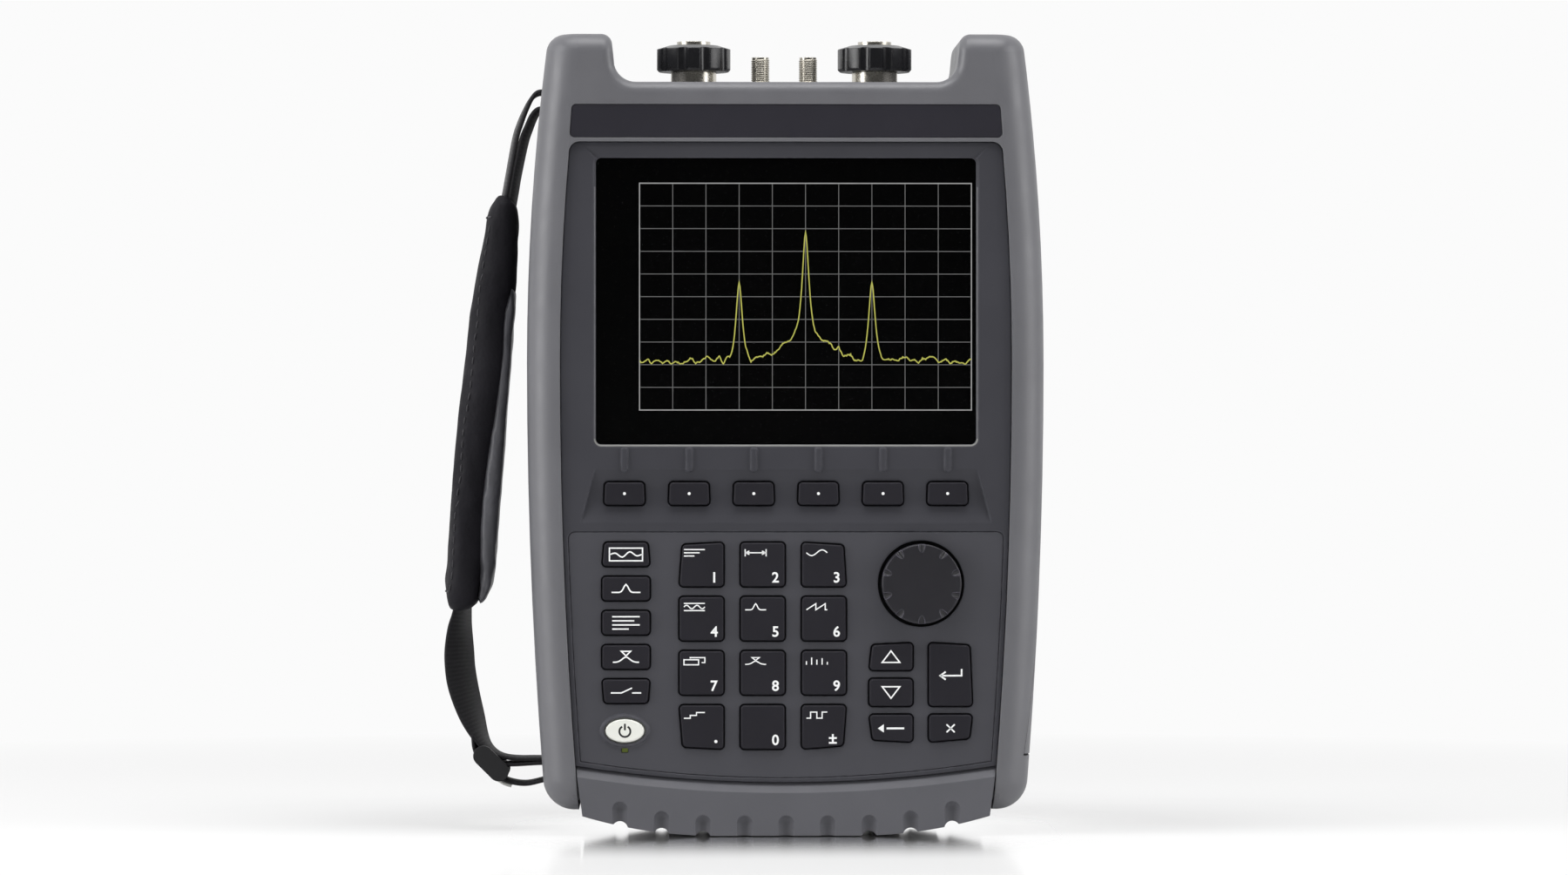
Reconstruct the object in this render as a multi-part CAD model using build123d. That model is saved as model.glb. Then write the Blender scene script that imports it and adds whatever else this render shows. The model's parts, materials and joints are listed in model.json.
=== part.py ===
from build123d import *
import math
import os
from collections import namedtuple
from functools import partial

# A handheld microwave analyzer: a barrel-sided grey case with two ears that guard the connectors,
# a dark front with display, softkeys, keypad and tuning knob, and a padded hand strap on the left.
# Front faces -Y, +Z is up, and the origin is the middle of the face that the case stands on.

# Heights of the front, from the floor up
BUMPER_HEIGHT = 19.2
BUMPER_ARC_RISE = 6.0
BEZEL_SILL = 1.7
KEYPAD_HEIGHT = 89.3
TROUGH_SILL = 3.4
TROUGH_HEIGHT = 19.5
TROUGH_HEAD = 9.0
WINDOW_HEIGHT = 104.2
BEZEL_HEAD = 5.7
PLATE_SILL = 1.8
PLATE_HEIGHT = 11.8
SADDLE_BROW = 8.5
EAR_HEIGHT = 17.6

# Widths of the front
WINDOW_WIDTH = 138.3
WINDOW_SIDE = 13.05
COLUMN_WIDTH = 12.2
TOP_TAPER = 7.9
LOW_TAPER = 7.6
WIDEST_HEIGHT = 172.0

# Case
CASE_DEPTH = 72.0
WALL = 3.0
TOP_WALL = 5.0
FRONT_ROUND = 12.0
REAR_ROUND = 10.0
EAR_ROUND = 7.0
FOOT_ROUND = 11.5
FOOT_RISE = 9.0
UNDERSIDE = 13.0
EAR_WIDTH = 32.4
SADDLE_FLARE = 1.8
SADDLE_CORNER = 8.0
SADDLE_ROUND = 4.0
SEAM_SETBACK = 28.0
GASKET = 0.8

# Clearances
FIT_GAP = 0.2
KEY_GAP = 0.3
CAP_GAP = 0.6
MOVING_GAP = 0.35
RUNNING_GAP = 0.06
PICK_REACH = 0.01
OVERRUN = 2.0

# Display bezel, window and display module
BEZEL_DROP = 1.5
BEZEL_THICK = 3.0
BEZEL_CORNER = 4.0
SEAT_RIB = 2.0
SEAT_LEDGE = 2.5
SEAT_DEPTH = 2.5
WINDOW_CORNER = 2.0
WINDOW_BEVEL = 0.9
BROW_RISE = 4.2
BROW_DEPTH = 0.9
GLASS_THICK = 1.4
GLASS_LAP = 2.0
DISPLAY_GAP = 0.6
DISPLAY_LAP = 2.6
DISPLAY_DEPTH = 7.5
TROUGH_DEPTH = 1.6
TROUGH_SIDE = 0.15
TROUGH_FLARE = 5.4
RIB_WIDTH = 2.4
RIB_RISE = 1.0
RIB_LENGTH = 8.8
RIB_SILL = 1.2
RIB_EDGE = 0.5

# Keypad
KEYPAD_BORDER = 2.1
KEYPAD_CORNER = 2.4
KEYPAD_THICK = 1.5
KEYPAD_LAP = 2.2
MAT_DROP = 1.9
MAT_RIM = 2.0
MAT_THICK = 1.5
BOARD_THICK = 1.6
KEY_RISE = 1.5
KEY_FLANGE = 1.0
FLANGE_THICK = 0.8
KEY_CORNER = 1.3
KEY_SLANT = 1.6
KEY_EDGE = 0.35
SOFTKEY_COUNT = 6
SOFTKEY_OVERHANG = 2.7
SOFTKEY_SPACE = 9.5
SOFTKEY_HEIGHT = 8.1
SOFTKEY_RISE = 0.6
SOFTKEY_DROP = 17.9
FUNCTION_COUNT = 5
FUNCTION_DROP = 8.1
FUNCTION_PITCH = 12.43
FUNCTION_HEIGHT = 8.5
DIGIT_DROP = 11.8
DIGIT_SPACE = 6.4
DIGIT_PITCH_Z = 19.7
DIGIT_HEIGHT = 15.8
BACK_DROP = 71.4
ARROW_PITCH = 13.05
ARROW_SPACE = 6.1
ARROW_HEIGHT = 9.8
POWER_DROP = 72.2
POWER_WIDTH = 14.0
POWER_HEIGHT = 8.4
POWER_RING = 1.9
POWER_RING_RISE = 0.9
POWER_RING_EDGE = 0.5
LAMP_GAP = 0.5
LAMP_WIDTH = 2.1
LAMP_HEIGHT = 1.2

# Places across the keypad and the function keys' width, as shares of the window's width
FUNCTION_X_SHARE = -0.4208
FUNCTION_WIDTH_SHARE = 0.1236
DIGIT_X_SHARE = -0.0615
DIGIT_PITCH_SHARE = 0.1609
ARROW_X_SHARE = 0.2755
ENTER_X_SHARE = 0.4324
POWER_X_SHARE = -0.4237
KNOB_X_SHARE = 0.3550

# Tuning knob and its encoder
KNOB_DROP = 18.8
KNOB_RADIUS = 14.5
KNOB_RISE = 6.5
KNOB_EDGE = 0.7
KNOB_WELL_GAP = 1.25
KNOB_SINK = 0.4
KNOB_NOTCHES = 10
KNOB_NOTCH_RADIUS = 1.15
KNOB_NOTCH_TILT = 68.0
SHAFT_RADIUS = 3.0
SHAFT_IN_KNOB = 4.0
SHAFT_IN_ENCODER = 2.0
ENCODER_SIZE = 13.0

# Name plate
PLATE_SIDE = 16.7
PLATE_FLARE = 0.9
PLATE_THICK = 0.8
PLATE_SINK = 0.2
PLATE_CORNER = 1.8

# Bottom bumper
BUMPER_PROUD = 0.5
BUMPER_FLAT = 25.0
BUMPER_END_RISE = 7.2
BUMPER_TOE = 2.6
BUMPER_REAR_HEIGHT = 18.0
BUMPER_REAR_DEPTH = 5.5
BUMPER_ROUND = 4.5
BUMPER_BEVEL = 3.6
FLUTE_COUNT = 9
FLUTE_PITCH = 15.1
FLUTE_RADIUS = 3.0
FLUTE_OFFSET = 1.0
FLUTE_HEIGHT = 7.6
FLUTE_END_RISE = 3.2
GROOVE_DEPTH = 1.6
THROUGH_FLUTES = 3

# Connector deck, ports and jacks
DECK_SIDE = 4.0
DECK_FRONT = 16.0
DECK_DEPTH = 40.0
DECK_THICK = 2.0
DECK_SINK = 1.4
DECK_LEDGE = 3.0
PORT_X = 33.4
PORT_BASE_RADIUS = 8.4
PORT_BASE_HEIGHT = 6.6
PORT_SHANK_RADIUS = 7.7
PORT_TUBE_RADIUS = 6.2
PORT_TUBE_RISE = 1.4
PORT_BORE_RADIUS = 3.5
PORT_BORE_DEPTH = 9.0
PORT_TAIL_RADIUS = 6.6
WHEEL_RADIUS = 13.7
WHEEL_HEIGHT = 9.7
WHEEL_FLUTES = 10
WHEEL_FLUTE_RADIUS = 2.6
WHEEL_FLUTE_DEPTH = 1.1
WHEEL_EDGE = 0.9
WHEEL_DOME_REACH = 4.4
WHEEL_DOME_DROP = 1.4
JACK_X = 8.8
JACK_RADIUS = 3.175
JACK_RISE = 12.2
JACK_BORE_RADIUS = 2.3
JACK_BORE_DEPTH = 1.9
JACK_NUT_FLATS = 8.0
JACK_NUT_HEIGHT = 1.9
JACK_TAIL_RADIUS = 2.6

# Boards, radio module and battery
BOARD_Y = -6.0
BOARD_INSET = 29.0
BOARD_LIFT = 14.0
RADIO_INSET = 38.0
RADIO_DEPTH = 24.0
RADIO_HEIGHT = 92.0
RADIO_DROP = 12.4
RADIO_ROUND = 3.0
STANDOFF_INSET = 33.0
STANDOFF_RADIUS = 3.0
STANDOFF_LOW = 104.0
STANDOFF_HIGH = 207.0
BATTERY_LEFT = 6.0
BATTERY_INSET = 16.0
BATTERY_DEPTH = 22.0
BATTERY_HEIGHT = 62.0
BATTERY_LIFT = 16.0
BATTERY_ROUND = 3.0

# Side doors, hinged along their lower edges, and the socket bay
DOOR_HINGE_INSET = 6.0
DOOR_REAR = 23.0
TRUNNION_RADIUS = 0.8
TRUNNION_LENGTH = 2.5
DOOR_KNEE = 4.0
DOOR_KNEE_GAP = 0.7
BATTERY_DOOR_LOW = 24.0
BATTERY_DOOR_HEIGHT = 66.0
BATTERY_DOOR_FRONT = -31.0
BATTERY_DOOR_LEAN = 6.5
SOCKET_DOOR_LOW = 124.0
SOCKET_DOOR_HEIGHT = 74.0
SOCKET_DOOR_FRONT = -5.0
BAY_DEPTH = 13.0
BAY_WALL = 2.0
LATCH_RADIUS = 5.0
LATCH_DEPTH = 1.2
SOCKET_DEPTH = 21.0
SOCKET_PROUD = 1.5
SOCKET_RIM = 1.2
SOCKET_RECESS = 9.0
NETWORK_JACK_HEIGHT = 16.0
NETWORK_JACK_DEPTH = 13.4
NETWORK_JACK_RISE = 22.0
HOST_JACK_HEIGHT = 14.5
HOST_JACK_DEPTH = 8.0
HOST_JACK_RISE = 43.0
HOST_JACK_PITCH = 17.0

# Rear tilt stand
STAND_TOP = 158.0
STAND_LENGTH = 96.0
STAND_TOP_HALF = 46.0
STAND_FOOT_HALF = 34.0
STAND_THICK = 4.5
STAND_SINK = 0.8
STAND_PIN_RADIUS = 2.0
STAND_PIN_LENGTH = 2.4
STAND_CORNER = 6.0
STAND_RELIEF = 1.6
STAND_FRAME = 9.0
POCKET_WALL = 2.5
POCKET_FLOOR_GAP = 0.6
FINGER_HALF = 12.0
FINGER_REACH = 8.0

# Case screws
SCREW_RADIUS = 1.5
SCREW_HEAD_RADIUS = 2.6
SCREW_HEAD_HEIGHT = 2.4
SCREW_LENGTH = 24.0
SCREW_SEAT = 14.0
BOSS_RADIUS = 3.8
SCREW_TOP_INSET = 24.0
SCREW_LOW_INSET = 30.0
SCREW_TOP_DROP = 15.4
SCREW_MID_Z = 109.0
SCREW_LOW_Z = 22.2

# Hand strap
STRAP_Y = 8.0
WEB_WIDTH = 20.0
WEB_THICK = 1.8
BAR_RADIUS = 2.0
BAR_DEPTH = 5.3
TOP_BAR_DROP = 5.9
LOW_BAR_HEIGHT = 22.0
BAR_POCKET_HALF = 5.0
STRAP_BOW = 26.0
GRIP_WIDTH = 36.0
GRIP_THICK = 18.4
GRIP_CORNER = 5.6
BUCKLE_BAR_RADIUS = 1.5
BUCKLE_PLATE = 2.5
BUCKLE_RIM = 2.2

# Strap route outside the case: (outward share of the bow, height share between the two bars)
STRAP_NECK_SHARES = (0.04, 0.990)
STRAP_GRIP_TOP_SHARES = (0.277, 0.856)
STRAP_GRIP_END_SHARES = (0.908, 0.243)
STRAP_BEND_SHARES = ((0.981, 0.170), (0.827, 0.0994))
STRAP_TAIL_SHARES = (0.727, 0.0568)
BUCKLE_UPPER_SHARES = (0.635, 0.0223)
BUCKLE_LOWER_SHARES = (0.415, -0.0008)
STRAP_ROUNDING_SHARE = 0.45

# Grip sections: (place along the grip, thickness, width), as shares of its length, thickness and width
GRIP_SECTION_SHARES = (
    (0.012, 0.68, 0.86),
    (0.14, 0.88, 0.97),
    (0.50, 0.98, 1.0),
    (0.86, 0.97, 0.99),
    (0.988, 0.74, 0.88),
)

# Places that follow from the sizes above
bezel_mid = BUMPER_HEIGHT + FIT_GAP
keypad_mid = bezel_mid + BEZEL_SILL
keypad_top = keypad_mid + KEYPAD_HEIGHT
trough_low = keypad_top + TROUGH_SILL
trough_top = trough_low + TROUGH_HEIGHT
window_low = trough_top + TROUGH_HEAD
window_top = window_low + WINDOW_HEIGHT
bezel_top = window_top + BEZEL_HEAD
plate_low = bezel_top + PLATE_SILL
plate_top = plate_low + PLATE_HEIGHT
saddle_z = plate_top + SADDLE_BROW
case_top = saddle_z + EAR_HEIGHT
bezel_low = bezel_mid + BUMPER_ARC_RISE
keypad_low = bezel_low + BEZEL_SILL
half_case = WINDOW_WIDTH / 2 + WINDOW_SIDE + COLUMN_WIDTH
saddle_half = half_case - EAR_WIDTH
deck_half = saddle_half - DECK_SIDE
plate_top_half = half_case - PLATE_SIDE
trough_top_half = WINDOW_WIDTH / 2 + TROUGH_SIDE
softkey_pitch = (WINDOW_WIDTH + SOFTKEY_OVERHANG) / SOFTKEY_COUNT
softkey_width = softkey_pitch - SOFTKEY_SPACE
function_x = FUNCTION_X_SHARE * WINDOW_WIDTH
function_width = FUNCTION_WIDTH_SHARE * WINDOW_WIDTH
digit_x = DIGIT_X_SHARE * WINDOW_WIDTH
digit_pitch = DIGIT_PITCH_SHARE * WINDOW_WIDTH
digit_width = digit_pitch - DIGIT_SPACE
arrow_x = ARROW_X_SHARE * WINDOW_WIDTH
enter_x = ENTER_X_SHARE * WINDOW_WIDTH
arrow_width = enter_x - arrow_x - ARROW_SPACE
power_x = POWER_X_SHARE * WINDOW_WIDTH
knob_x = KNOB_X_SHARE * WINDOW_WIDTH
board_half = half_case - BOARD_INSET
radio_half = half_case - RADIO_INSET
standoff_x = half_case - STANDOFF_INSET
battery_right = half_case - BATTERY_INSET
screw_top_x = half_case - SCREW_TOP_INSET
screw_low_x = half_case - SCREW_LOW_INSET
front_y = -CASE_DEPTH / 2
rear_y = CASE_DEPTH / 2
seam_y = front_y + SEAM_SETBACK
bezel_front = front_y + BEZEL_DROP
bezel_back = bezel_front + BEZEL_THICK
seat_back = bezel_back + SEAT_DEPTH
keypad_front = bezel_front + FIT_GAP
keypad_back = keypad_front + KEYPAD_THICK
mat_front = bezel_back + MAT_DROP
mat_back = mat_front + MAT_THICK
keyboard_back = mat_back + BOARD_THICK
board_back = BOARD_Y + BOARD_THICK
floor_z = UNDERSIDE + WALL
ceiling_z = saddle_z - TOP_WALL
deck_top = saddle_z - DECK_SINK
deck_low = deck_top - DECK_THICK
radio_top = saddle_z - RADIO_DROP
radio_low = radio_top - RADIO_HEIGHT
knob_z = keypad_top - KNOB_DROP
rear_inner = rear_y - WALL
stand_rear = rear_y - STAND_SINK
stand_front = stand_rear - STAND_THICK
stand_axis_y = (stand_front + stand_rear) / 2
pocket_floor = stand_front - POCKET_FLOOR_GAP
stand_axis_z = STAND_TOP - STAND_THICK / 2
stand_low = STAND_TOP - STAND_LENGTH
top_bar_z = saddle_z - TOP_BAR_DROP

Key = namedtuple("Key", "name x z width height shifts")


# Helpers: prisms seen from the front, the side and above
def front_prism(face, front, back):
    """Solid of a front-view face (X, Z) between two depths."""
    plane = Plane(origin=(0, back, 0), x_dir=(1, 0, 0), z_dir=(0, -1, 0))
    return extrude(plane * face, amount=back - front)


def side_prism(face, left, right):
    """Solid of a side-view face (Y, Z) between two X places."""
    plane = Plane(origin=(left, 0, 0), x_dir=(0, 1, 0), z_dir=(1, 0, 0))
    return extrude(plane * face, amount=right - left)


def block(x_range, y_range, z_range):
    """Box between two places on each axis."""
    spans = (x_range, y_range, z_range)
    center = [(low + high) / 2 for low, high in spans]
    return Pos(*center) * Box(*[high - low for low, high in spans])


def edges_at(solid, axis, place):
    """Edges of a solid that lie at one place along an axis."""
    return solid.edges().filter_by_position(axis, place - PICK_REACH, place + PICK_REACH)


def rod_x(y, z, radius, left, right):
    """Round bar along X."""
    return Pos((left + right) / 2, y, z) * Rot(0, 90, 0) * Cylinder(radius, right - left)


def rod_y(x, z, radius, front, back):
    """Round bar along Y."""
    return Pos(x, (front + back) / 2, z) * Rot(90, 0, 0) * Cylinder(radius, back - front)


def rod_z(x, y, radius, low, high):
    """Round bar along Z."""
    return Pos(x, y, (low + high) / 2) * Cylinder(radius, high - low)


# Barrel sides of the case
def arc_radius(rise, taper):
    """Radius of an arc that starts upright and moves in by taper over rise."""
    return (rise ** 2 + taper ** 2) / (2 * taper)


def half_width(z, inset=0):
    """Half width of the case at a height, moved in by inset."""
    if z > WIDEST_HEIGHT:
        radius = arc_radius(case_top - WIDEST_HEIGHT, TOP_TAPER)
    else:
        radius = arc_radius(WIDEST_HEIGHT, LOW_TAPER)
    return half_case - radius + math.sqrt((radius - inset) ** 2 - (z - WIDEST_HEIGHT) ** 2)


def side_curve(inset, low, high):
    """Right-hand edge of the barrel: one arc below the widest place and one above it."""
    stops = [low, high]
    if low < WIDEST_HEIGHT < high:
        stops = [low, WIDEST_HEIGHT, high]
    arcs = []
    for start, end in zip(stops, stops[1:]):
        heights = (start, (start + end) / 2, end)
        arcs.append(ThreePointArc(*[(half_width(z, inset), z) for z in heights]))
    return arcs


def barrel_face(inset, low, high, sag=0):
    """Front outline with barrel sides, whose lower edge hangs by sag in the middle."""
    right = side_curve(inset, low, high)
    left = [edge.mirror(Plane.YZ) for edge in right]
    low_half = half_width(low, inset)
    high_half = half_width(high, inset)
    top = Line((high_half, high), (-high_half, high))
    if sag:
        bottom = ThreePointArc((-low_half, low), (0, low - sag), (low_half, low))
    else:
        bottom = Line((-low_half, low), (low_half, low))
    return make_face([*right, top, *left, bottom])


def round_top(face, radius):
    """Round the two upper corners of an outline."""
    return fillet(face.vertices().sort_by(Axis.Y)[-2:], radius)


def trapezoid(low_half, top_half, low, high):
    """Front outline with level edges and leaning sides."""
    corners = ((-low_half, low), (low_half, low), (top_half, high), (-top_half, high))
    return make_face(Polyline(*corners, close=True))


# Case halves
def barrel_solid(inset, low, high):
    """Barrel form with its four upright edges rounded."""
    front = front_y + inset
    rear = rear_y - inset
    form = front_prism(barrel_face(inset, low, high), front, rear)
    for depth, radius in ((front, FRONT_ROUND - inset), (rear, REAR_ROUND - inset)):
        form = fillet(edges_at(form, Axis.Y, depth).filter_by(GeomType.CIRCLE), radius)
    return form


def outer_form():
    """Outside of the case with rounded rims, ears and the saddle between them."""
    form = barrel_solid(0, FOOT_RISE, case_top)
    form = fillet(form.faces().sort_by(Axis.Z)[-1].edges(), EAR_ROUND)
    form = fillet(form.faces().sort_by(Axis.Z)[0].edges(), FOOT_ROUND)
    notch = trapezoid(saddle_half, saddle_half + SADDLE_FLARE, saddle_z, case_top + OVERRUN)
    notch = fillet(notch.vertices().sort_by(Axis.Y)[:2], SADDLE_CORNER)
    saddle = front_prism(notch, front_y - OVERRUN, rear_y + OVERRUN)
    cut = form - saddle
    return fillet(new_edges(form, saddle, combined=cut), SADDLE_ROUND)


def deck_cut():
    """Pocket and through hole for the connector deck in the saddle."""
    half = deck_half + FIT_GAP
    front = front_y + DECK_FRONT - FIT_GAP
    back = front_y + DECK_FRONT + DECK_DEPTH + FIT_GAP
    pocket = block((-half, half), (front, back), (deck_low, saddle_z + OVERRUN))
    hole = block(
        (DECK_LEDGE - half, half - DECK_LEDGE),
        (front + DECK_LEDGE, back - DECK_LEDGE),
        (ceiling_z - OVERRUN, saddle_z),
    )
    return pocket + hole


def housing(outer):
    """Whole shell before it is split, open for the front, the bumper and the deck."""
    shell = outer - barrel_solid(WALL, floor_z, ceiling_z)
    opening = round_top(barrel_face(COLUMN_WIDTH, -OVERRUN, bezel_top + FIT_GAP), BEZEL_CORNER)
    seat = front_prism(
        barrel_face(COLUMN_WIDTH - SEAT_RIB, UNDERSIDE, bezel_top + SEAT_RIB), front_y + WALL / 2, seat_back
    )
    seat_hole = barrel_face(
        COLUMN_WIDTH + SEAT_LEDGE, bezel_low + SEAT_LEDGE, bezel_top - SEAT_LEDGE, BUMPER_ARC_RISE
    )
    seat -= front_prism(seat_hole, front_y, seat_back + OVERRUN)
    shell += seat
    shell -= front_prism(opening, front_y - OVERRUN, bezel_back)
    underside = barrel_face(COLUMN_WIDTH, -OVERRUN, UNDERSIDE)
    shell -= front_prism(underside, front_y - OVERRUN, rear_y + OVERRUN)
    heel = barrel_face(COLUMN_WIDTH, -OVERRUN, BUMPER_REAR_HEIGHT + FIT_GAP)
    shell -= front_prism(heel, rear_y - BUMPER_REAR_DEPTH, rear_y + OVERRUN)
    shell += block(
        (-screw_low_x, screw_low_x),
        (rear_y - BUMPER_REAR_DEPTH - WALL, rear_y - BUMPER_REAR_DEPTH),
        (UNDERSIDE, BUMPER_REAR_HEIGHT + FIT_GAP + WALL),
    )
    return shell - deck_cut()


def screw_places():
    """(X, Z) of the six case screws."""
    rows = (
        (screw_top_x, saddle_z - SCREW_TOP_DROP),
        (half_width(SCREW_MID_Z, mat_inset()) + KEY_GAP + BOSS_RADIUS, SCREW_MID_Z),
        (screw_low_x, SCREW_LOW_Z),
    )
    return [(side * x, z) for x, z in rows for side in (-1, 1)]


def screw_seat():
    """Depth of the faces under the screw heads."""
    return seam_y + SCREW_SEAT


def make_front_case(shell, outer):
    case = shell & block((-half_case, half_case), (front_y, seam_y - GASKET / 2), (0, case_top))
    for x, z in screw_places():
        start = front_y + WALL / 2 if z > bezel_top else bezel_back
        case += outer & rod_y(x, z, BOSS_RADIUS, start, seam_y - GASKET / 2)
        case -= rod_y(x, z, SCREW_RADIUS + FIT_GAP, screw_seat() - SCREW_LENGTH - FIT_GAP, seam_y)
    recess = plate_face(FIT_GAP)
    case -= front_prism(recess, front_y - OVERRUN, front_y + PLATE_SINK + PLATE_THICK)
    return case - door_cuts()


def stand_pocket(grow):
    """Room for the folded stand, with a finger scoop at its foot."""
    gap = MOVING_GAP + grow
    face = trapezoid(STAND_FOOT_HALF + gap, STAND_TOP_HALF + gap, stand_low - gap, STAND_TOP + gap)
    scoop = Pos(0, stand_low) * SlotOverall(2 * (FINGER_HALF + grow), 2 * (FINGER_REACH + grow))
    return front_prism(face + scoop, pocket_floor - grow, rear_y + OVERRUN)


def strap_bars():
    """(X, Z) of the upper and lower bars that hold the strap."""
    return [(BAR_DEPTH - half_width(z), z) for z in (top_bar_z, LOW_BAR_HEIGHT)]


def strap_pocket(x, z, grow):
    """Pocket around one strap bar, open to the left."""
    half_y = WEB_WIDTH / 2 + MOVING_GAP + grow
    half_z = BAR_POCKET_HALF + grow
    inner = x + BAR_RADIUS + WEB_THICK + 2 * MOVING_GAP + grow
    return block((-half_case, inner), (STRAP_Y - half_y, STRAP_Y + half_y), (z - half_z, z + half_z))


def bay_box(grow):
    """Room of the socket bay behind its door."""
    inner = half_width(SOCKET_DOOR_LOW) - BAY_DEPTH - grow
    return block(
        (inner, half_case),
        (SOCKET_DOOR_FRONT - grow, DOOR_REAR + grow),
        (SOCKET_DOOR_LOW - grow, SOCKET_DOOR_LOW + SOCKET_DOOR_HEIGHT + grow),
    )


def make_rear_case(shell, outer):
    half = block((-half_case, half_case), (seam_y + GASKET / 2, rear_y), (0, case_top))
    extra = stand_pocket(POCKET_WALL) + bay_box(BAY_WALL)
    for x, z in strap_bars():
        extra += strap_pocket(x, z, WALL)
    for x, z in screw_places():
        extra += rod_y(x, z, BOSS_RADIUS, seam_y, rear_y)
    case = (shell & half) + (extra & outer & half)
    for x, z in standoff_places():
        case += rod_y(x, z, STANDOFF_RADIUS, board_back, rear_inner + WALL / 2)
    case -= stand_pocket(0)
    pin = STAND_TOP_HALF + STAND_PIN_LENGTH
    case -= rod_x(stand_axis_y, stand_axis_z, STAND_PIN_RADIUS + RUNNING_GAP, -pin, pin)
    case -= bay_box(0)
    for solid in sockets(FIT_GAP):
        case -= solid
    for x, z in screw_places():
        case -= rod_y(x, z, SCREW_RADIUS + FIT_GAP, seam_y, screw_seat())
        case -= rod_y(x, z, SCREW_HEAD_RADIUS + FIT_GAP, screw_seat(), rear_y + OVERRUN)
    for x, z in strap_bars():
        case -= strap_pocket(x, z, 0)
        half_y = WEB_WIDTH / 2 + WALL
        case += rod_y(x, z, BAR_RADIUS, STRAP_Y - half_y, STRAP_Y + half_y)
    return case - door_cuts()


def standoff_places():
    """(X, Z) of the pillars that carry the main board."""
    places = [(side * standoff_x, STANDOFF_LOW) for side in (-1, 1)]
    return places + [(side * standoff_x, STANDOFF_HIGH) for side in (-1, 1)]


def make_gasket(shell):
    slab = block((-half_case, half_case), (seam_y - GASKET / 2, seam_y + GASKET / 2), (0, case_top))
    gasket = (shell & slab) - door_cuts()
    for x, z in screw_places():
        gasket -= rod_y(x, z, BOSS_RADIUS + FIT_GAP, seam_y - GASKET, seam_y + GASKET)
    return gasket


# Side doors
Door = namedtuple("Door", "low high front lean")
BATTERY_DOOR = Door(
    BATTERY_DOOR_LOW, BATTERY_DOOR_LOW + BATTERY_DOOR_HEIGHT, BATTERY_DOOR_FRONT, BATTERY_DOOR_LEAN
)
SOCKET_DOOR = Door(SOCKET_DOOR_LOW, SOCKET_DOOR_LOW + SOCKET_DOOR_HEIGHT, SOCKET_DOOR_FRONT, 0)


def hinge_axis(door):
    """(X, Z) of a door's hinge line, in the middle of its wall."""
    z = door.low + WALL / 2
    return half_width(z) - WALL / 2, z


def hinge_span(door):
    """Depths between which a door's hinge barrel runs."""
    return door.front + DOOR_HINGE_INSET + door.lean, DOOR_REAR - DOOR_HINGE_INSET


def door_leaf(door, grow, knee_gap):
    """Side outline of a door above its hinge line, with its two lower corners cut away."""
    _, axis_z = hinge_axis(door)
    start, end = hinge_span(door)
    knee = axis_z + DOOR_KNEE - knee_gap
    outline = Polyline(
        (start - grow, axis_z),
        (end + grow, axis_z),
        (end + grow, knee),
        (DOOR_REAR + grow, knee),
        (DOOR_REAR + grow, door.high + grow),
        (door.front + door.lean - grow, door.high + grow),
        (door.front - grow, knee),
        (start - grow, knee),
        close=True,
    )
    return make_face(outline)


def door_cut(door):
    """Opening for a door and its hinge in the case."""
    x, z = hinge_axis(door)
    start, end = hinge_span(door)
    leaf = door_leaf(door, MOVING_GAP, DOOR_KNEE_GAP)
    cut = side_prism(leaf, half_case - FRONT_ROUND - WALL, half_case + OVERRUN)
    roof = block(
        (x - WALL / 2 - MOVING_GAP, half_case + OVERRUN),
        (start - MOVING_GAP, end + MOVING_GAP),
        (z - WALL / 2 - MOVING_GAP, z),
    )
    pin = rod_y(x, z, TRUNNION_RADIUS + RUNNING_GAP, start - TRUNNION_LENGTH, end + TRUNNION_LENGTH)
    return cut + roof + pin


def door_cuts():
    """Both door openings."""
    return door_cut(BATTERY_DOOR) + door_cut(SOCKET_DOOR)


def make_door(outer, door):
    x, z = hinge_axis(door)
    start, end = hinge_span(door)
    skin = outer - barrel_solid(WALL, floor_z, ceiling_z)
    leaf = skin & side_prism(door_leaf(door, 0, 0), half_case - FRONT_ROUND - WALL, half_case)
    latch_y = (door.front + door.lean + DOOR_REAR) / 2
    latch_z = door.high - 2 * LATCH_RADIUS
    leaf -= rod_x(latch_y, latch_z, LATCH_RADIUS, half_width(latch_z) - LATCH_DEPTH, half_case)
    leaf += rod_y(x, z, WALL / 2, start, end)
    leaf += rod_y(x, z, TRUNNION_RADIUS, start - TRUNNION_LENGTH + FIT_GAP, end + TRUNNION_LENGTH - FIT_GAP)
    return leaf


# Sockets in the bay: one network jack and two small host jacks, seated on the main board
SOCKET_FACES = (
    (NETWORK_JACK_HEIGHT, NETWORK_JACK_DEPTH, NETWORK_JACK_RISE),
    (HOST_JACK_HEIGHT, HOST_JACK_DEPTH, HOST_JACK_RISE),
    (HOST_JACK_HEIGHT, HOST_JACK_DEPTH, HOST_JACK_RISE + HOST_JACK_PITCH),
)


def sockets(grow):
    """Outer blocks of the side sockets."""
    outer_x = half_width(SOCKET_DOOR_LOW) - BAY_DEPTH + SOCKET_PROUD
    solids = []
    for height, depth, rise in SOCKET_FACES:
        z = SOCKET_DOOR_LOW + rise
        solids.append(
            block(
                (outer_x - SOCKET_DEPTH - grow, outer_x),
                (board_back, board_back + depth + grow),
                (z - height / 2 - grow, z + height / 2 + grow),
            )
        )
    return solids


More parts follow.
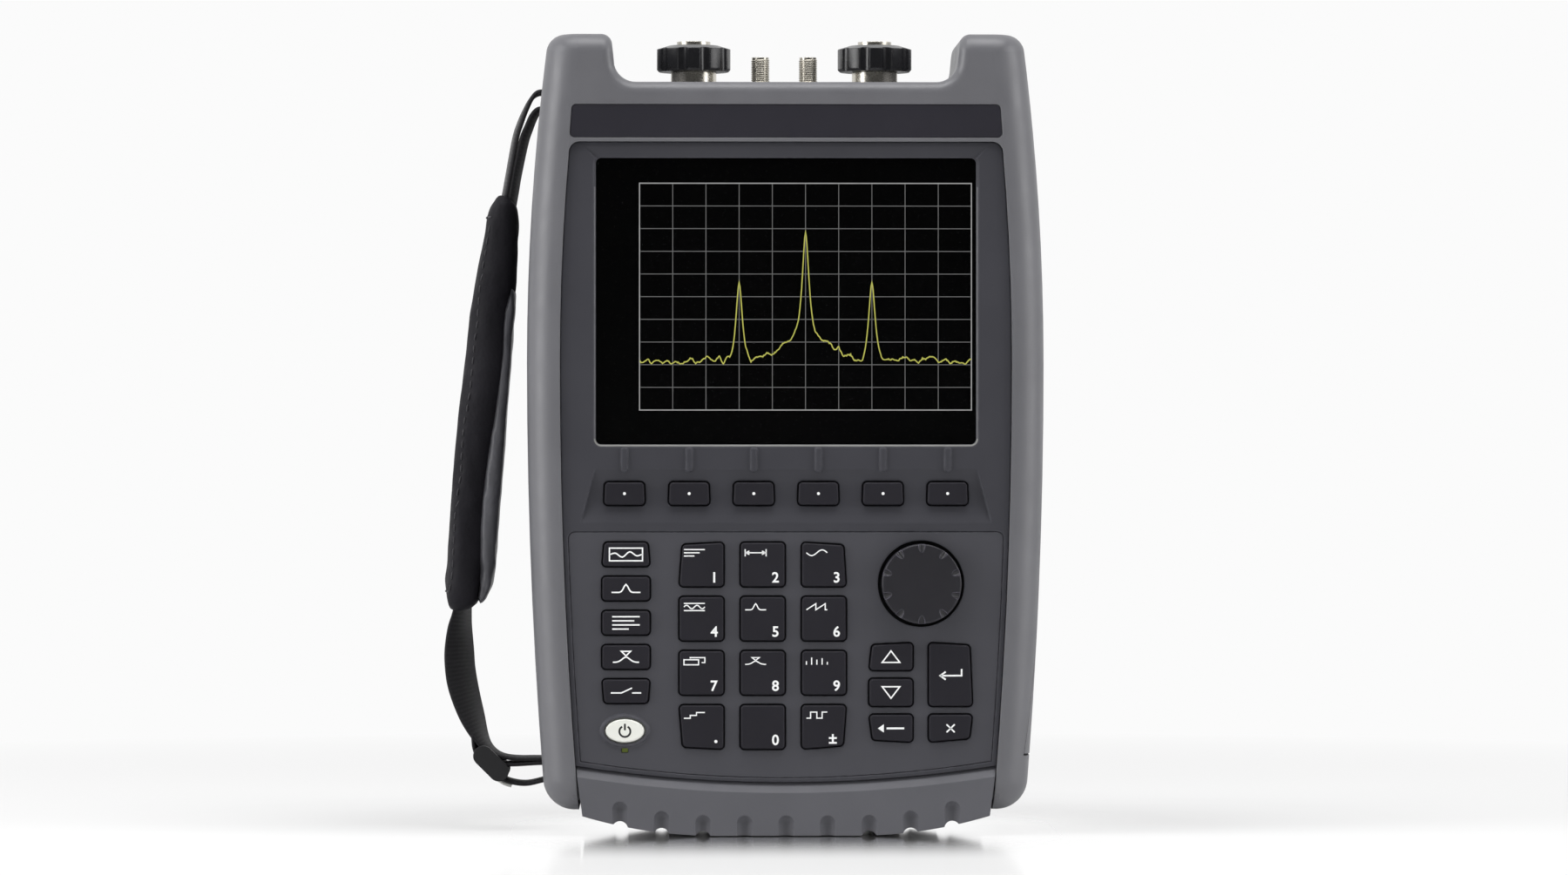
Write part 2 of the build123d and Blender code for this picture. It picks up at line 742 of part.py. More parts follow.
def make_side_sockets():
    outer_x = half_width(SOCKET_DOOR_LOW) - BAY_DEPTH + SOCKET_PROUD
    shells = []
    for solid, (height, depth, rise) in zip(sockets(0), SOCKET_FACES):
        z = SOCKET_DOOR_LOW + rise
        mouth = block(
            (outer_x - SOCKET_RECESS, outer_x + OVERRUN),
            (board_back + SOCKET_RIM, board_back + depth - SOCKET_RIM),
            (z - height / 2 + SOCKET_RIM, z + height / 2 - SOCKET_RIM),
        )
        shells.append(solid - mouth)
    return Compound(children=shells)


# Front pieces
def plate_face(grow):
    """Outline of the bare name plate."""
    low_half = plate_top_half + PLATE_FLARE + grow
    face = trapezoid(low_half, plate_top_half + grow, plate_low - grow, plate_top + grow)
    return fillet(face.vertices(), PLATE_CORNER)


def make_name_plate():
    return front_prism(plate_face(0), front_y + PLATE_SINK, front_y + PLATE_SINK + PLATE_THICK)


def window_face(grow):
    """Outline of the display window."""
    face = RectangleRounded(WINDOW_WIDTH + 2 * grow, WINDOW_HEIGHT + 2 * grow, WINDOW_CORNER)
    return Pos(0, (window_low + window_top) / 2) * face


def keypad_face(inset):
    """Outline of the keypad panel."""
    face = barrel_face(
        COLUMN_WIDTH + KEYPAD_BORDER + inset, keypad_low + inset, keypad_top - inset, BUMPER_ARC_RISE
    )
    return round_top(face, KEYPAD_CORNER - inset)


def mat_inset():
    """How far the mat and board behind the keys stand in from the case's sides."""
    return COLUMN_WIDTH + SEAT_LEDGE + KEY_GAP


def mat_face(inset):
    """Outline of the rim, mat and board behind all keys."""
    return barrel_face(
        mat_inset() + inset,
        bezel_low + SEAT_LEDGE + KEY_GAP + inset,
        trough_top - inset,
        BUMPER_ARC_RISE,
    )


def softkey_x(index):
    """Place of a softkey across the front."""
    return (index - (SOFTKEY_COUNT - 1) / 2) * softkey_pitch


def brow_cut():
    """Slope above the window, which runs back towards the glass and ends in mitred corners."""
    top = window_top + BROW_RISE
    low = window_top - WINDOW_CORNER
    low_depth = BROW_DEPTH * (top - low) / BROW_RISE
    front = bezel_front - OVERRUN
    corners = ((front, low), (bezel_front + low_depth, low), (bezel_front, top), (front, top))
    reach = WINDOW_WIDTH / 2 + BROW_RISE
    slope = side_prism(make_face(Polyline(*corners, close=True)), -reach, reach)
    ends = trapezoid(WINDOW_WIDTH / 2 - WINDOW_CORNER, reach, low, top)
    return slope & front_prism(ends, front, bezel_back)


def make_display_bezel(softkeys):
    face = barrel_face(COLUMN_WIDTH + FIT_GAP, bezel_low, bezel_top, BUMPER_ARC_RISE)
    bezel = front_prism(round_top(face, BEZEL_CORNER), bezel_front, bezel_back)
    bezel -= front_prism(window_face(0), bezel_front - OVERRUN, bezel_back + OVERRUN)
    rim = edges_at(bezel, Axis.Y, bezel_front)
    rim = rim.filter_by_position(Axis.Z, window_low - PICK_REACH, window_top + PICK_REACH)
    reach = WINDOW_WIDTH / 2 + PICK_REACH
    rim = rim.filter_by_position(Axis.X, -reach, reach)
    bezel = chamfer(rim, WINDOW_BEVEL) - brow_cut()
    bezel -= front_prism(window_face(GLASS_LAP + FIT_GAP), bezel_back - GLASS_THICK, bezel_back + OVERRUN)
    middle = (trough_low + trough_top) / 2
    radius = ((TROUGH_HEIGHT / 2) ** 2 + TROUGH_DEPTH ** 2) / (2 * TROUGH_DEPTH)
    scoop = rod_x(bezel_front + TROUGH_DEPTH - radius, middle, radius, -half_case, half_case)
    ends = trapezoid(trough_top_half + TROUGH_FLARE, trough_top_half, trough_low, trough_top)
    bezel -= scoop & front_prism(ends, bezel_front - OVERRUN, bezel_back)
    rib_face = RectangleRounded(RIB_WIDTH, RIB_LENGTH, RIB_WIDTH / 3)
    for index in range(SOFTKEY_COUNT):
        place = Pos(softkey_x(index), window_low - RIB_SILL - RIB_LENGTH / 2)
        rib = front_prism(place * rib_face, bezel_front - RIB_RISE, bezel_front + RIB_RISE)
        bezel += fillet(edges_at(rib, Axis.Y, bezel_front - RIB_RISE), RIB_EDGE)
    bezel -= front_prism(keypad_face(-FIT_GAP), bezel_front - OVERRUN, keypad_back)
    bezel -= front_prism(keypad_face(KEYPAD_LAP), bezel_front, bezel_back + OVERRUN)
    bezel += front_prism(mat_face(0) - mat_face(MAT_RIM), bezel_back, mat_front)
    for key in softkeys:
        bezel -= front_prism(key_face(key, CAP_GAP), bezel_front - OVERRUN, bezel_back + OVERRUN)
    return bezel


def make_display_window():
    return front_prism(window_face(GLASS_LAP), bezel_back - GLASS_THICK, bezel_back)


def make_display_module():
    face = Pos(0, (window_low + window_top) / 2) * Rectangle(
        WINDOW_WIDTH + 2 * DISPLAY_LAP, WINDOW_HEIGHT + 2 * DISPLAY_LAP
    )
    front = bezel_back + DISPLAY_GAP
    module = front_prism(face, front, front + DISPLAY_DEPTH)
    return chamfer(module.edges().filter_by(Axis.Y), DISPLAY_LAP / 2)


# Keys
STRAIGHT_SHARES = ((0, 0), (0, 0), (0, 0), (0, 0))
SOFTKEY_SHARES = ((-0.2, 0), (0.2, 0), (0, 0), (0, 0))
NARROW_TOP_SHARES = ((0, 0), (0, 0), (-0.5, 0), (0.5, 0))
NARROW_LOW_SHARES = ((0.5, 0), (-0.5, 0), (0, 0), (0, 0))
DROP_LEFT_SHARES = ((0, 0), (0, 0), (0, 0), (0.7, -0.5))
DROP_RIGHT_SHARES = ((0, 0), (0, 0), (-0.6, -0.6), (0, 0))
LIFT_LEFT_SHARES = ((0.8, 0.5), (0, 0), (0, 0), (0, 0))
LIFT_RIGHT_SHARES = ((0, 0), (-0.7, 0.8), (0, 0), (0, 0))


def key_face(key, grow):
    """Outline of a key, its corners moved by shares of the key slant."""
    half_x = key.width / 2 + grow
    half_z = key.height / 2 + grow
    corners = ((-half_x, -half_z), (half_x, -half_z), (half_x, half_z), (-half_x, half_z))
    points = [(x + dx * KEY_SLANT, z + dz * KEY_SLANT) for (x, z), (dx, dz) in zip(corners, key.shifts)]
    face = make_face(Polyline(*points, close=True))
    return Pos(key.x, key.z) * fillet(face.vertices(), KEY_CORNER + grow)


def softkey_list():
    z = window_low - SOFTKEY_DROP
    return [
        Key(f"softkey_{index + 1}", softkey_x(index), z, softkey_width, SOFTKEY_HEIGHT, SOFTKEY_SHARES)
        for index in range(SOFTKEY_COUNT)
    ]


def function_list():
    keys = []
    for index in range(FUNCTION_COUNT):
        z = keypad_top - FUNCTION_DROP - index * FUNCTION_PITCH
        shifts = {0: NARROW_TOP_SHARES, FUNCTION_COUNT - 1: NARROW_LOW_SHARES}.get(index, STRAIGHT_SHARES)
        keys.append(Key(f"function_key_{index + 1}", function_x, z, function_width, FUNCTION_HEIGHT, shifts))
    return keys


DIGIT_NAMES = (("1", "2", "3"), ("4", "5", "6"), ("7", "8", "9"), ("point", "0", "sign"))
DIGIT_SHIFTS = {
    "1": DROP_LEFT_SHARES,
    "3": DROP_RIGHT_SHARES,
    "point": LIFT_LEFT_SHARES,
    "sign": LIFT_RIGHT_SHARES,
}


def digit_list():
    keys = []
    for row, names in enumerate(DIGIT_NAMES):
        for column, name in enumerate(names):
            x = digit_x + (column - 1) * digit_pitch
            z = keypad_top - DIGIT_DROP - row * DIGIT_PITCH_Z
            shifts = DIGIT_SHIFTS.get(name, STRAIGHT_SHARES)
            keys.append(Key(f"key_{name}", x, z, digit_width, DIGIT_HEIGHT, shifts))
    return keys


def arrow_list():
    low = keypad_top - BACK_DROP
    tall = ARROW_HEIGHT + ARROW_PITCH
    return [
        Key("key_up", arrow_x, low + 2 * ARROW_PITCH, arrow_width, ARROW_HEIGHT, DROP_LEFT_SHARES),
        Key("key_down", arrow_x, low + ARROW_PITCH, arrow_width, ARROW_HEIGHT, STRAIGHT_SHARES),
        Key("key_back", arrow_x, low, arrow_width, ARROW_HEIGHT, LIFT_LEFT_SHARES),
        Key("key_enter", enter_x, low + ARROW_PITCH * 3 / 2, arrow_width, tall, DROP_RIGHT_SHARES),
        Key("key_escape", enter_x, low, arrow_width, ARROW_HEIGHT, LIFT_RIGHT_SHARES),
    ]


def make_key(outline, front, shoulder):
    """Key cap in front of its retaining flange; outline gives its face for a growth."""
    cap = front_prism(outline(0), front, shoulder)
    cap = chamfer(edges_at(cap, Axis.Y, front), KEY_EDGE)
    return cap + front_prism(outline(KEY_FLANGE), shoulder, shoulder + FLANGE_THICK)


def power_face(grow):
    """Oval outline of the power button."""
    return Pos(power_x, keypad_top - POWER_DROP) * Ellipse(POWER_WIDTH / 2 + grow, POWER_HEIGHT / 2 + grow)


def lamp_face(grow):
    """Outline of the power lamp, just below the ring round the power button."""
    ring_low = keypad_top - POWER_DROP - POWER_HEIGHT / 2 - POWER_RING
    place = Pos(power_x, ring_low - LAMP_GAP - LAMP_HEIGHT / 2)
    return place * Rectangle(LAMP_WIDTH + 2 * grow, LAMP_HEIGHT + 2 * grow)


def make_keypad_panel(keys):
    panel = front_prism(keypad_face(0), keypad_front, keypad_back)
    ring_front = keypad_front - POWER_RING_RISE
    ring = front_prism(power_face(POWER_RING), ring_front, keypad_back)
    panel += chamfer(edges_at(ring, Axis.Y, ring_front), POWER_RING_EDGE)
    panel -= front_prism(power_face(CAP_GAP), front_y - OVERRUN, keypad_back + OVERRUN)
    panel -= front_prism(lamp_face(FIT_GAP), front_y - OVERRUN, keypad_back + OVERRUN)
    for key in keys:
        panel -= front_prism(key_face(key, CAP_GAP), front_y - OVERRUN, keypad_back + OVERRUN)
    well = KNOB_RADIUS + KNOB_WELL_GAP
    return panel - rod_y(knob_x, knob_z, well, front_y - OVERRUN, keypad_back + OVERRUN)


def encoder_face(grow):
    """Square outline of the encoder body."""
    return Pos(knob_x, knob_z) * Rectangle(ENCODER_SIZE + 2 * grow, ENCODER_SIZE + 2 * grow)


def make_keypad_mat():
    mat = front_prism(mat_face(0), mat_front, mat_back)
    return mat - front_prism(encoder_face(KEY_GAP), mat_front - OVERRUN, mat_back + OVERRUN)


def make_keypad_board():
    return front_prism(mat_face(0), mat_back, keyboard_back)


def make_power_lamp():
    return front_prism(lamp_face(0), keypad_front - FIT_GAP, mat_front)


# Tuning knob
def encoder_front():
    """Front face of the encoder body, just behind the keypad panel."""
    return keypad_back + KEY_GAP


def knob_back():
    """Rear face of the knob, sunk into its round well in the panel."""
    return keypad_front + KNOB_SINK


def make_tuning_knob():
    front = keypad_front - KNOB_RISE
    back = knob_back()
    knob = rod_y(knob_x, knob_z, KNOB_RADIUS, front, back)
    knob = fillet(edges_at(knob, Axis.Y, front), KNOB_EDGE)
    notch = Rot(90 + KNOB_NOTCH_TILT, 0, 0) * Cylinder(KNOB_NOTCH_RADIUS, 2 * KNOB_RISE)
    for index in range(KNOB_NOTCHES):
        turn = Pos(knob_x, front, knob_z) * Rot(0, 360 / KNOB_NOTCHES * index, 0)
        knob -= turn * Pos(0, 0, KNOB_RADIUS) * notch
    return knob - rod_y(knob_x, knob_z, SHAFT_RADIUS + RUNNING_GAP, back - SHAFT_IN_KNOB, back + OVERRUN)


def make_encoder_shaft():
    end = encoder_front() + SHAFT_IN_ENCODER - RUNNING_GAP
    return rod_y(knob_x, knob_z, SHAFT_RADIUS, knob_back() - SHAFT_IN_KNOB, end)


def make_encoder_body():
    front = encoder_front()
    body = front_prism(encoder_face(0), front, mat_back)
    return body - rod_y(knob_x, knob_z, SHAFT_RADIUS + RUNNING_GAP, front - OVERRUN, front + SHAFT_IN_ENCODER)


# Bottom bumper
def bumper_edge(x):
    """Height of the bumper's lower edge: flat in the middle, then rising along an arc."""
    reach = max(abs(x) - BUMPER_FLAT, 0)
    radius = arc_radius(bumper_half() - BUMPER_FLAT, BUMPER_END_RISE)
    return radius - math.sqrt(radius ** 2 - reach ** 2)


def bumper_half():
    """Half width of the bumper at its lower corners."""
    return half_width(bezel_low, COLUMN_WIDTH) - BUMPER_TOE


def make_bottom_bumper():
    top_low = BUMPER_HEIGHT + BUMPER_ARC_RISE
    top_half = half_width(top_low, COLUMN_WIDTH + FIT_GAP)
    half = bumper_half()
    middle = (BUMPER_FLAT + half) / 2
    right = ThreePointArc((BUMPER_FLAT, 0), (middle, bumper_edge(middle)), (half, bumper_edge(half)))
    outline = [
        Line((-BUMPER_FLAT, 0), (BUMPER_FLAT, 0)),
        right,
        Line((half, bumper_edge(half)), (top_half, top_low)),
        ThreePointArc((top_half, top_low), (0, BUMPER_HEIGHT), (-top_half, top_low)),
        Line((-half, bumper_edge(half)), (-top_half, top_low)),
        right.mirror(Plane.YZ),
    ]
    front = front_y - BUMPER_PROUD
    bumper = front_prism(make_face(outline), front, rear_y)
    lower = [edge for edge in bumper.edges() if edge.center().Z < BUMPER_END_RISE / 2
             and abs(abs(edge.center().Y - BUMPER_PROUD) - rear_y) < BUMPER_PROUD + FIT_GAP]
    bumper = fillet(lower, BUMPER_ROUND)
    bumper = chamfer(edges_at(bumper, Axis.Y, front).sort_by(Axis.Z)[-1], BUMPER_BEVEL)
    bumper -= block(
        (-half_case, half_case),
        (bezel_back - FIT_GAP, rear_y - BUMPER_REAR_DEPTH + FIT_GAP),
        (UNDERSIDE - FIT_GAP, case_top),
    )
    bumper -= block((-half_case, half_case), (0, rear_y + OVERRUN), (BUMPER_REAR_HEIGHT, case_top))
    for index in range(FLUTE_COUNT):
        place = index - (FLUTE_COUNT - 1) / 2
        x = place * FLUTE_PITCH
        low = bumper_edge(x)
        top = low + FLUTE_HEIGHT + FLUTE_END_RISE * (x / bumper_half()) ** 4 - FLUTE_RADIUS
        y = front - FLUTE_OFFSET
        bumper -= rod_z(x, y, FLUTE_RADIUS, low - OVERRUN, top)
        bumper -= Pos(x, y, top) * Sphere(FLUTE_RADIUS)
        if abs(place) > (FLUTE_COUNT - 1) / 2 - THROUGH_FLUTES:
            groove_z = low + GROOVE_DEPTH - FLUTE_RADIUS
            bumper -= rod_y(x, groove_z, FLUTE_RADIUS, front - OVERRUN, rear_y + OVERRUN)
    return bumper


# Connector deck, ports and jacks
def deck_y():
    """Depth of the line on which all connectors stand."""
    return front_y + DECK_FRONT + DECK_DEPTH / 2


def make_connector_deck():
    deck = block(
        (-deck_half, deck_half),
        (front_y + DECK_FRONT, front_y + DECK_FRONT + DECK_DEPTH),
        (deck_low, deck_top),
    )
    for side in (-1, 1):
        deck -= rod_z(side * PORT_X, deck_y(), PORT_TAIL_RADIUS + FIT_GAP, deck_low - OVERRUN, saddle_z)
        deck -= rod_z(side * JACK_X, deck_y(), JACK_TAIL_RADIUS + FIT_GAP, deck_low - OVERRUN, saddle_z)
    return deck


def wheel_low():
    """Lower face of a coupling wheel, just clear of the port's base ring."""
    return deck_top + PORT_BASE_HEIGHT + FIT_GAP


def port_steps():
    """(radius, low, high) of a test port's turned steps."""
    base_top = deck_top + PORT_BASE_HEIGHT
    shank_top = wheel_low() + WHEEL_HEIGHT - WHEEL_EDGE
    tube_top = wheel_low() + WHEEL_HEIGHT + PORT_TUBE_RISE
    return (
        (PORT_TAIL_RADIUS, radio_top, deck_top),
        (PORT_BASE_RADIUS, deck_top, base_top),
        (PORT_SHANK_RADIUS, base_top, shank_top),
        (PORT_TUBE_RADIUS, shank_top, tube_top),
    )


def make_test_port(x):
    port = Part()
    for radius, low, high in port_steps():
        port += rod_z(x, deck_y(), radius, low, high)
    top = port_steps()[-1][-1]
    return port - rod_z(x, deck_y(), PORT_BORE_RADIUS, top - PORT_BORE_DEPTH, top + OVERRUN)


def make_port_wheel(x):
    low = wheel_low()
    high = low + WHEEL_HEIGHT
    inner = PORT_SHANK_RADIUS + RUNNING_GAP
    profile = Polyline(
        (inner, low),
        (WHEEL_RADIUS - WHEEL_EDGE, low),
        (WHEEL_RADIUS, low + WHEEL_EDGE),
        (WHEEL_RADIUS, high - WHEEL_DOME_DROP),
        (WHEEL_RADIUS - WHEEL_DOME_REACH, high),
        (inner, high),
        close=True,
    )
    wheel = Pos(x, deck_y(), 0) * revolve(Plane.XZ * make_face(profile), Axis.Z)
    reach = WHEEL_RADIUS + WHEEL_FLUTE_RADIUS - WHEEL_FLUTE_DEPTH
    for index in range(WHEEL_FLUTES):
        angle = 2 * math.pi * index / WHEEL_FLUTES
        place = (x + reach * math.cos(angle), deck_y() + reach * math.sin(angle))
        wheel -= rod_z(*place, WHEEL_FLUTE_RADIUS, low - OVERRUN, high + OVERRUN)
    return wheel


def make_jack(x):
    nut_face = RegularPolygon(JACK_NUT_FLATS / 2, 6, major_radius=False)
    nut = extrude(Pos(x, deck_y(), deck_top) * nut_face, amount=JACK_NUT_HEIGHT)
    top = deck_top + JACK_RISE
    barrel = rod_z(x, deck_y(), JACK_RADIUS, deck_top, top)
    barrel -= rod_z(x, deck_y(), JACK_BORE_RADIUS, top - JACK_BORE_DEPTH, top + OVERRUN)
    return nut + barrel + rod_z(x, deck_y(), JACK_TAIL_RADIUS, radio_top, deck_top)


# Inside
def make_main_board():
    board = block((-board_half, board_half), (BOARD_Y, board_back), (floor_z + BOARD_LIFT, radio_top))
    return fillet(board.edges().filter_by(Axis.Y), BOARD_LIFT / 2)


def make_radio_module():
    module = block((-radio_half, radio_half), (board_back, board_back + RADIO_DEPTH), (radio_low, radio_top))
    return fillet(module.edges().filter_by(Axis.Z), RADIO_ROUND)


def make_battery_pack():
    back = pocket_floor - POCKET_WALL
    low = floor_z + BATTERY_LIFT
    pack = block(
        (BATTERY_LEFT, battery_right),
        (back - BATTERY_DEPTH, back),
        (low, low + BATTERY_HEIGHT),
    )
    return fillet(pack.edges().filter_by(Axis.X), BATTERY_ROUND)


# Tilt stand
def make_tilt_stand():
    face = trapezoid(STAND_FOOT_HALF, STAND_TOP_HALF, stand_low, STAND_TOP)
    face = fillet(face.vertices().sort_by(Axis.Y)[:2], STAND_CORNER)
    stand = front_prism(face, stand_front, stand_rear)
    stand = fillet(edges_at(stand, Axis.Z, STAND_TOP).filter_by(Axis.X), STAND_THICK / 2 - FIT_GAP)
    relief = trapezoid(
        STAND_FOOT_HALF - STAND_FRAME,
        STAND_TOP_HALF - STAND_FRAME,
        stand_low + STAND_FRAME,
        STAND_TOP - STAND_FRAME,
    )
    relief = fillet(relief.vertices(), STAND_CORNER)
    stand -= front_prism(relief, stand_rear - STAND_RELIEF, stand_rear + OVERRUN)
    pin = STAND_TOP_HALF + STAND_PIN_LENGTH - FIT_GAP
    return stand + rod_x(stand_axis_y, stand_axis_z, STAND_PIN_RADIUS, -pin, pin)


# Fasteners
def make_case_screws():
    seat = screw_seat()
    screws = []
    for x, z in screw_places():
        head = rod_y(x, z, SCREW_HEAD_RADIUS, seat, seat + SCREW_HEAD_HEIGHT)
        screws.append(head + rod_y(x, z, SCREW_RADIUS, seat - SCREW_LENGTH, seat))
    return Compound(children=screws)


# Hand strap
def strap_point(shares):
    """Place on the strap's route from its shares."""
    out_share, height_share = shares
    z = LOW_BAR_HEIGHT + (top_bar_z - LOW_BAR_HEIGHT) * height_share
    return Vector(-half_case - STRAP_BOW * out_share, z)


def ring_loop(first, first_radius, second, second_radius):
    """Webbing drawn tight around two round bars, in the front view."""
    def hull(grow):
        circles = [Pos(*point) * Circle(radius + grow)
                   for point, radius in ((first, first_radius), (second, second_radius))]
        return make_hull([edge for circle in circles for edge in circle.edges()])
    return hull(MOVING_GAP + WEB_THICK) - hull(MOVING_GAP)


def web_prism(face):
    """Webbing of full width from its edge-on outline."""
    return front_prism(face, STRAP_Y - WEB_WIDTH / 2, STRAP_Y + WEB_WIDTH / 2)


def strap_route():
    """Middle line of the strap from its upper loop through the grip to the buckle."""
    shares = (STRAP_NECK_SHARES, STRAP_GRIP_TOP_SHARES, STRAP_GRIP_END_SHARES, *STRAP_BEND_SHARES,
              STRAP_TAIL_SHARES)
    points = [strap_point(pair) for pair in shares]
    radii = []
    for before, corner, after in zip(points, points[1:], points[2:]):
        turn = math.radians((corner - before).get_angle(after - corner))
        shorter = min((corner - before).length, (after - corner).length)
        radii.append(shorter * STRAP_ROUNDING_SHARE / math.tan(turn / 2))
    return FilletPolyline(*points, radius=radii)


def make_strap_webbing():
    upper_bar, lower_bar = [Vector(*place) for place in strap_bars()]
    neck = strap_point(STRAP_NECK_SHARES)
    tail = strap_point(STRAP_TAIL_SHARES)
    buckle_upper = strap_point(BUCKLE_UPPER_SHARES)
    buckle_lower = strap_point(BUCKLE_LOWER_SHARES)
    strap = trace(strap_route(), 2 * WEB_THICK)
    strap += ring_loop(upper_bar, BAR_RADIUS, neck, 0)
    strap += ring_loop(buckle_upper, BUCKLE_BAR_RADIUS, tail, 0)
    loop = ring_loop(lower_bar, BAR_RADIUS, buckle_lower, BUCKLE_BAR_RADIUS)
    return Compound(children=[web_prism(strap), web_prism(loop)])


def make_strap_grip():
    start = strap_point(STRAP_GRIP_TOP_SHARES)
    end = strap_point(STRAP_GRIP_END_SHARES)
    run = end - start
    frame = Plane(origin=(start.X, STRAP_Y, start.Y), x_dir=(0, 1, 0), z_dir=(run.X, 0, run.Y))
    sections = []
    for place, thick, wide in GRIP_SECTION_SHARES:
        section = RectangleRounded(GRIP_WIDTH * wide, GRIP_THICK * thick, GRIP_CORNER * thick)
        sections.append(frame.offset(run.length * place) * section)
    slot = Rectangle(WEB_WIDTH + 2 * MOVING_GAP, 2 * (WEB_THICK + MOVING_GAP))
    grip = loft(sections)
    return grip - extrude(frame.offset(-OVERRUN) * slot, amount=run.length + 2 * OVERRUN)


def make_strap_buckle():
    places = [strap_point(shares) for shares in (BUCKLE_UPPER_SHARES, BUCKLE_LOWER_SHARES)]
    inner = WEB_WIDTH / 2 + MOVING_GAP
    outer = inner + BUCKLE_PLATE
    rim = BUCKLE_BAR_RADIUS + BUCKLE_RIM
    circles = [Pos(point.X, point.Y) * Circle(rim) for point in places]
    cheek = make_hull([edge for circle in circles for edge in circle.edges()])
    buckle = front_prism(cheek, STRAP_Y - outer, STRAP_Y - inner)
    buckle += front_prism(cheek, STRAP_Y + inner, STRAP_Y + outer)
    for point in places:
        buckle += rod_y(point.X, point.Y, BUCKLE_BAR_RADIUS, STRAP_Y - outer, STRAP_Y + outer)
    return buckle


# Assembly
def build_parts():
    """All pieces by node name."""
    outer = outer_form()
    shell = housing(outer)
    softkeys = softkey_list()
    pad_keys = function_list() + digit_list() + arrow_list()
    pieces = {
        "front_case": make_front_case(shell, outer),
        "rear_case": make_rear_case(shell, outer),
        "case_gasket": make_gasket(shell),
        "display_bezel": make_display_bezel(softkeys),
        "display_window": make_display_window(),
        "display_module": make_display_module(),
        "name_plate": make_name_plate(),
        "keypad_panel": make_keypad_panel(pad_keys),
        "keypad_mat": make_keypad_mat(),
        "keypad_board": make_keypad_board(),
        "power_lamp": make_power_lamp(),
        "tuning_knob": make_tuning_knob(),
        "encoder_shaft": make_encoder_shaft(),
        "encoder_body": make_encoder_body(),
        "bottom_bumper": make_bottom_bumper(),
        "connector_deck": make_connector_deck(),
        "test_ports": Compound(children=[make_test_port(-PORT_X), make_test_port(PORT_X)]),
        "left_port_wheel": make_port_wheel(-PORT_X),
        "right_port_wheel": make_port_wheel(PORT_X),
        "small_jacks": Compound(children=[make_jack(-JACK_X), make_jack(JACK_X)]),
        "main_board": make_main_board(),
        "radio_module": make_radio_module(),
        "battery_pack": make_battery_pack(),
        "side_sockets": make_side_sockets(),
        "battery_door": make_door(outer, BATTERY_DOOR),
        "socket_door": make_door(outer, SOCKET_DOOR),
        "tilt_stand": make_tilt_stand(),
        "case_screws": make_case_screws(),
        "strap_webbing": make_strap_webbing(),
        "strap_grip": make_strap_grip(),
        "strap_buckle": make_strap_buckle(),
        "power_button": make_key(power_face, keypad_front - KEY_RISE, keypad_back + FIT_GAP),
    }
    for key in softkeys:
        pieces[key.name] = make_key(partial(key_face, key), bezel_front - SOFTKEY_RISE, bezel_back + FIT_GAP)
    for key in pad_keys:
        pieces[key.name] = make_key(partial(key_face, key), keypad_front - KEY_RISE, keypad_back + FIT_GAP)
    return pieces


os.makedirs("parts", exist_ok=True)
for name, piece in build_parts().items():
    export_step(piece, f"parts/{name}.step")
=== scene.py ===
import json
import math
import random

import bpy
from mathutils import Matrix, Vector, noise
from mathutils.bvhtree import BVHTree


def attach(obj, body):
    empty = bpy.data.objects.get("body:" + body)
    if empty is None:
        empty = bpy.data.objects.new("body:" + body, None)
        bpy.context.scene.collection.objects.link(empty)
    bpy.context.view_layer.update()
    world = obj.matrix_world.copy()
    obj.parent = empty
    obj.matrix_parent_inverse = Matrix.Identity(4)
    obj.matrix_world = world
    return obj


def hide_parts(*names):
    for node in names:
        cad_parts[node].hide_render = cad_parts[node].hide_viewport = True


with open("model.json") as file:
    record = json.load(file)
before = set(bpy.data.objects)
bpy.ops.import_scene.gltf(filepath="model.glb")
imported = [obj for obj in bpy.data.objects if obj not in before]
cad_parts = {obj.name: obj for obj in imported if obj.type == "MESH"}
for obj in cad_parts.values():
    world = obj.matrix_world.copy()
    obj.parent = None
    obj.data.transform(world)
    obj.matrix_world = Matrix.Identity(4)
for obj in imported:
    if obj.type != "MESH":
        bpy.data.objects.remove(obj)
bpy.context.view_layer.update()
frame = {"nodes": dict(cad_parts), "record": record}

# Finishes and printed marks of a handheld microwave analyzer, in the frame of its CAD pieces.
# Sizes below are in millimetres and are turned into metres where a mesh is made.
MM = 0.001

# Camera and stage
FRAME_WIDTH = 569.7
CAMERA_DISTANCE = 2200.0
CAMERA_TARGET = (-0.8, -36.0, 144.8)
CAMERA_TURN = -1.2
SENSOR = 36.0
VIEW_LIMIT = 100000.0
BACKDROP = "fbfbfb"
AMBIENT_STRENGTH = 0.34

# What glossy surfaces mirror: strength at the front and at the back, and the depths between which it changes
MIRROR_STRENGTHS = (0.06, 1.0)
MIRROR_DEPTHS = (-0.75, 0.1)

# Soft boxes: name, place, width and height, watts
BOX_TARGET = (0, 0, 140.0)
SOFT_BOXES = (
    ("left_box", (-1550.0, -500.0, 500.0), (900.0, 1300.0), 19.0),
    ("right_box", (1550.0, -500.0, 500.0), (900.0, 1300.0), 13.0),
    ("top_box", (0, -450.0, 1600.0), (1600.0, 1000.0), 24.0),
)

# Floor: it mirrors most next to the base, and only at a grazing look
FLOOR_COLOR = "e4e4e4"
FLOOR_DROP = 0.3
FLOOR_HALF = 6000.0
FLOOR_FADE = (250.0, 750.0)
FLOOR_GLOSS_NEAR, FLOOR_GLOSS_FAR = 0.98, 0.2
FLOOR_GLOSS_ROUGHNESS = 0.1
FLOOR_GLOSS_FADE = (10.0, 130.0)
FLOOR_GRAZING_POWER, FLOOR_GRAZING_GAIN = 16.0, 3.0
FLOOR_CONTACT_HALF = (42.0, 32.0, 10.0)

# Places on the front
KEY_CAP_FRONT = -35.8
SOFTKEY_CAP_FRONT = -35.1
SCREEN_FRONT = -30.9
PRINT_THICK = 0.03
PRINT_SINK = 0.02

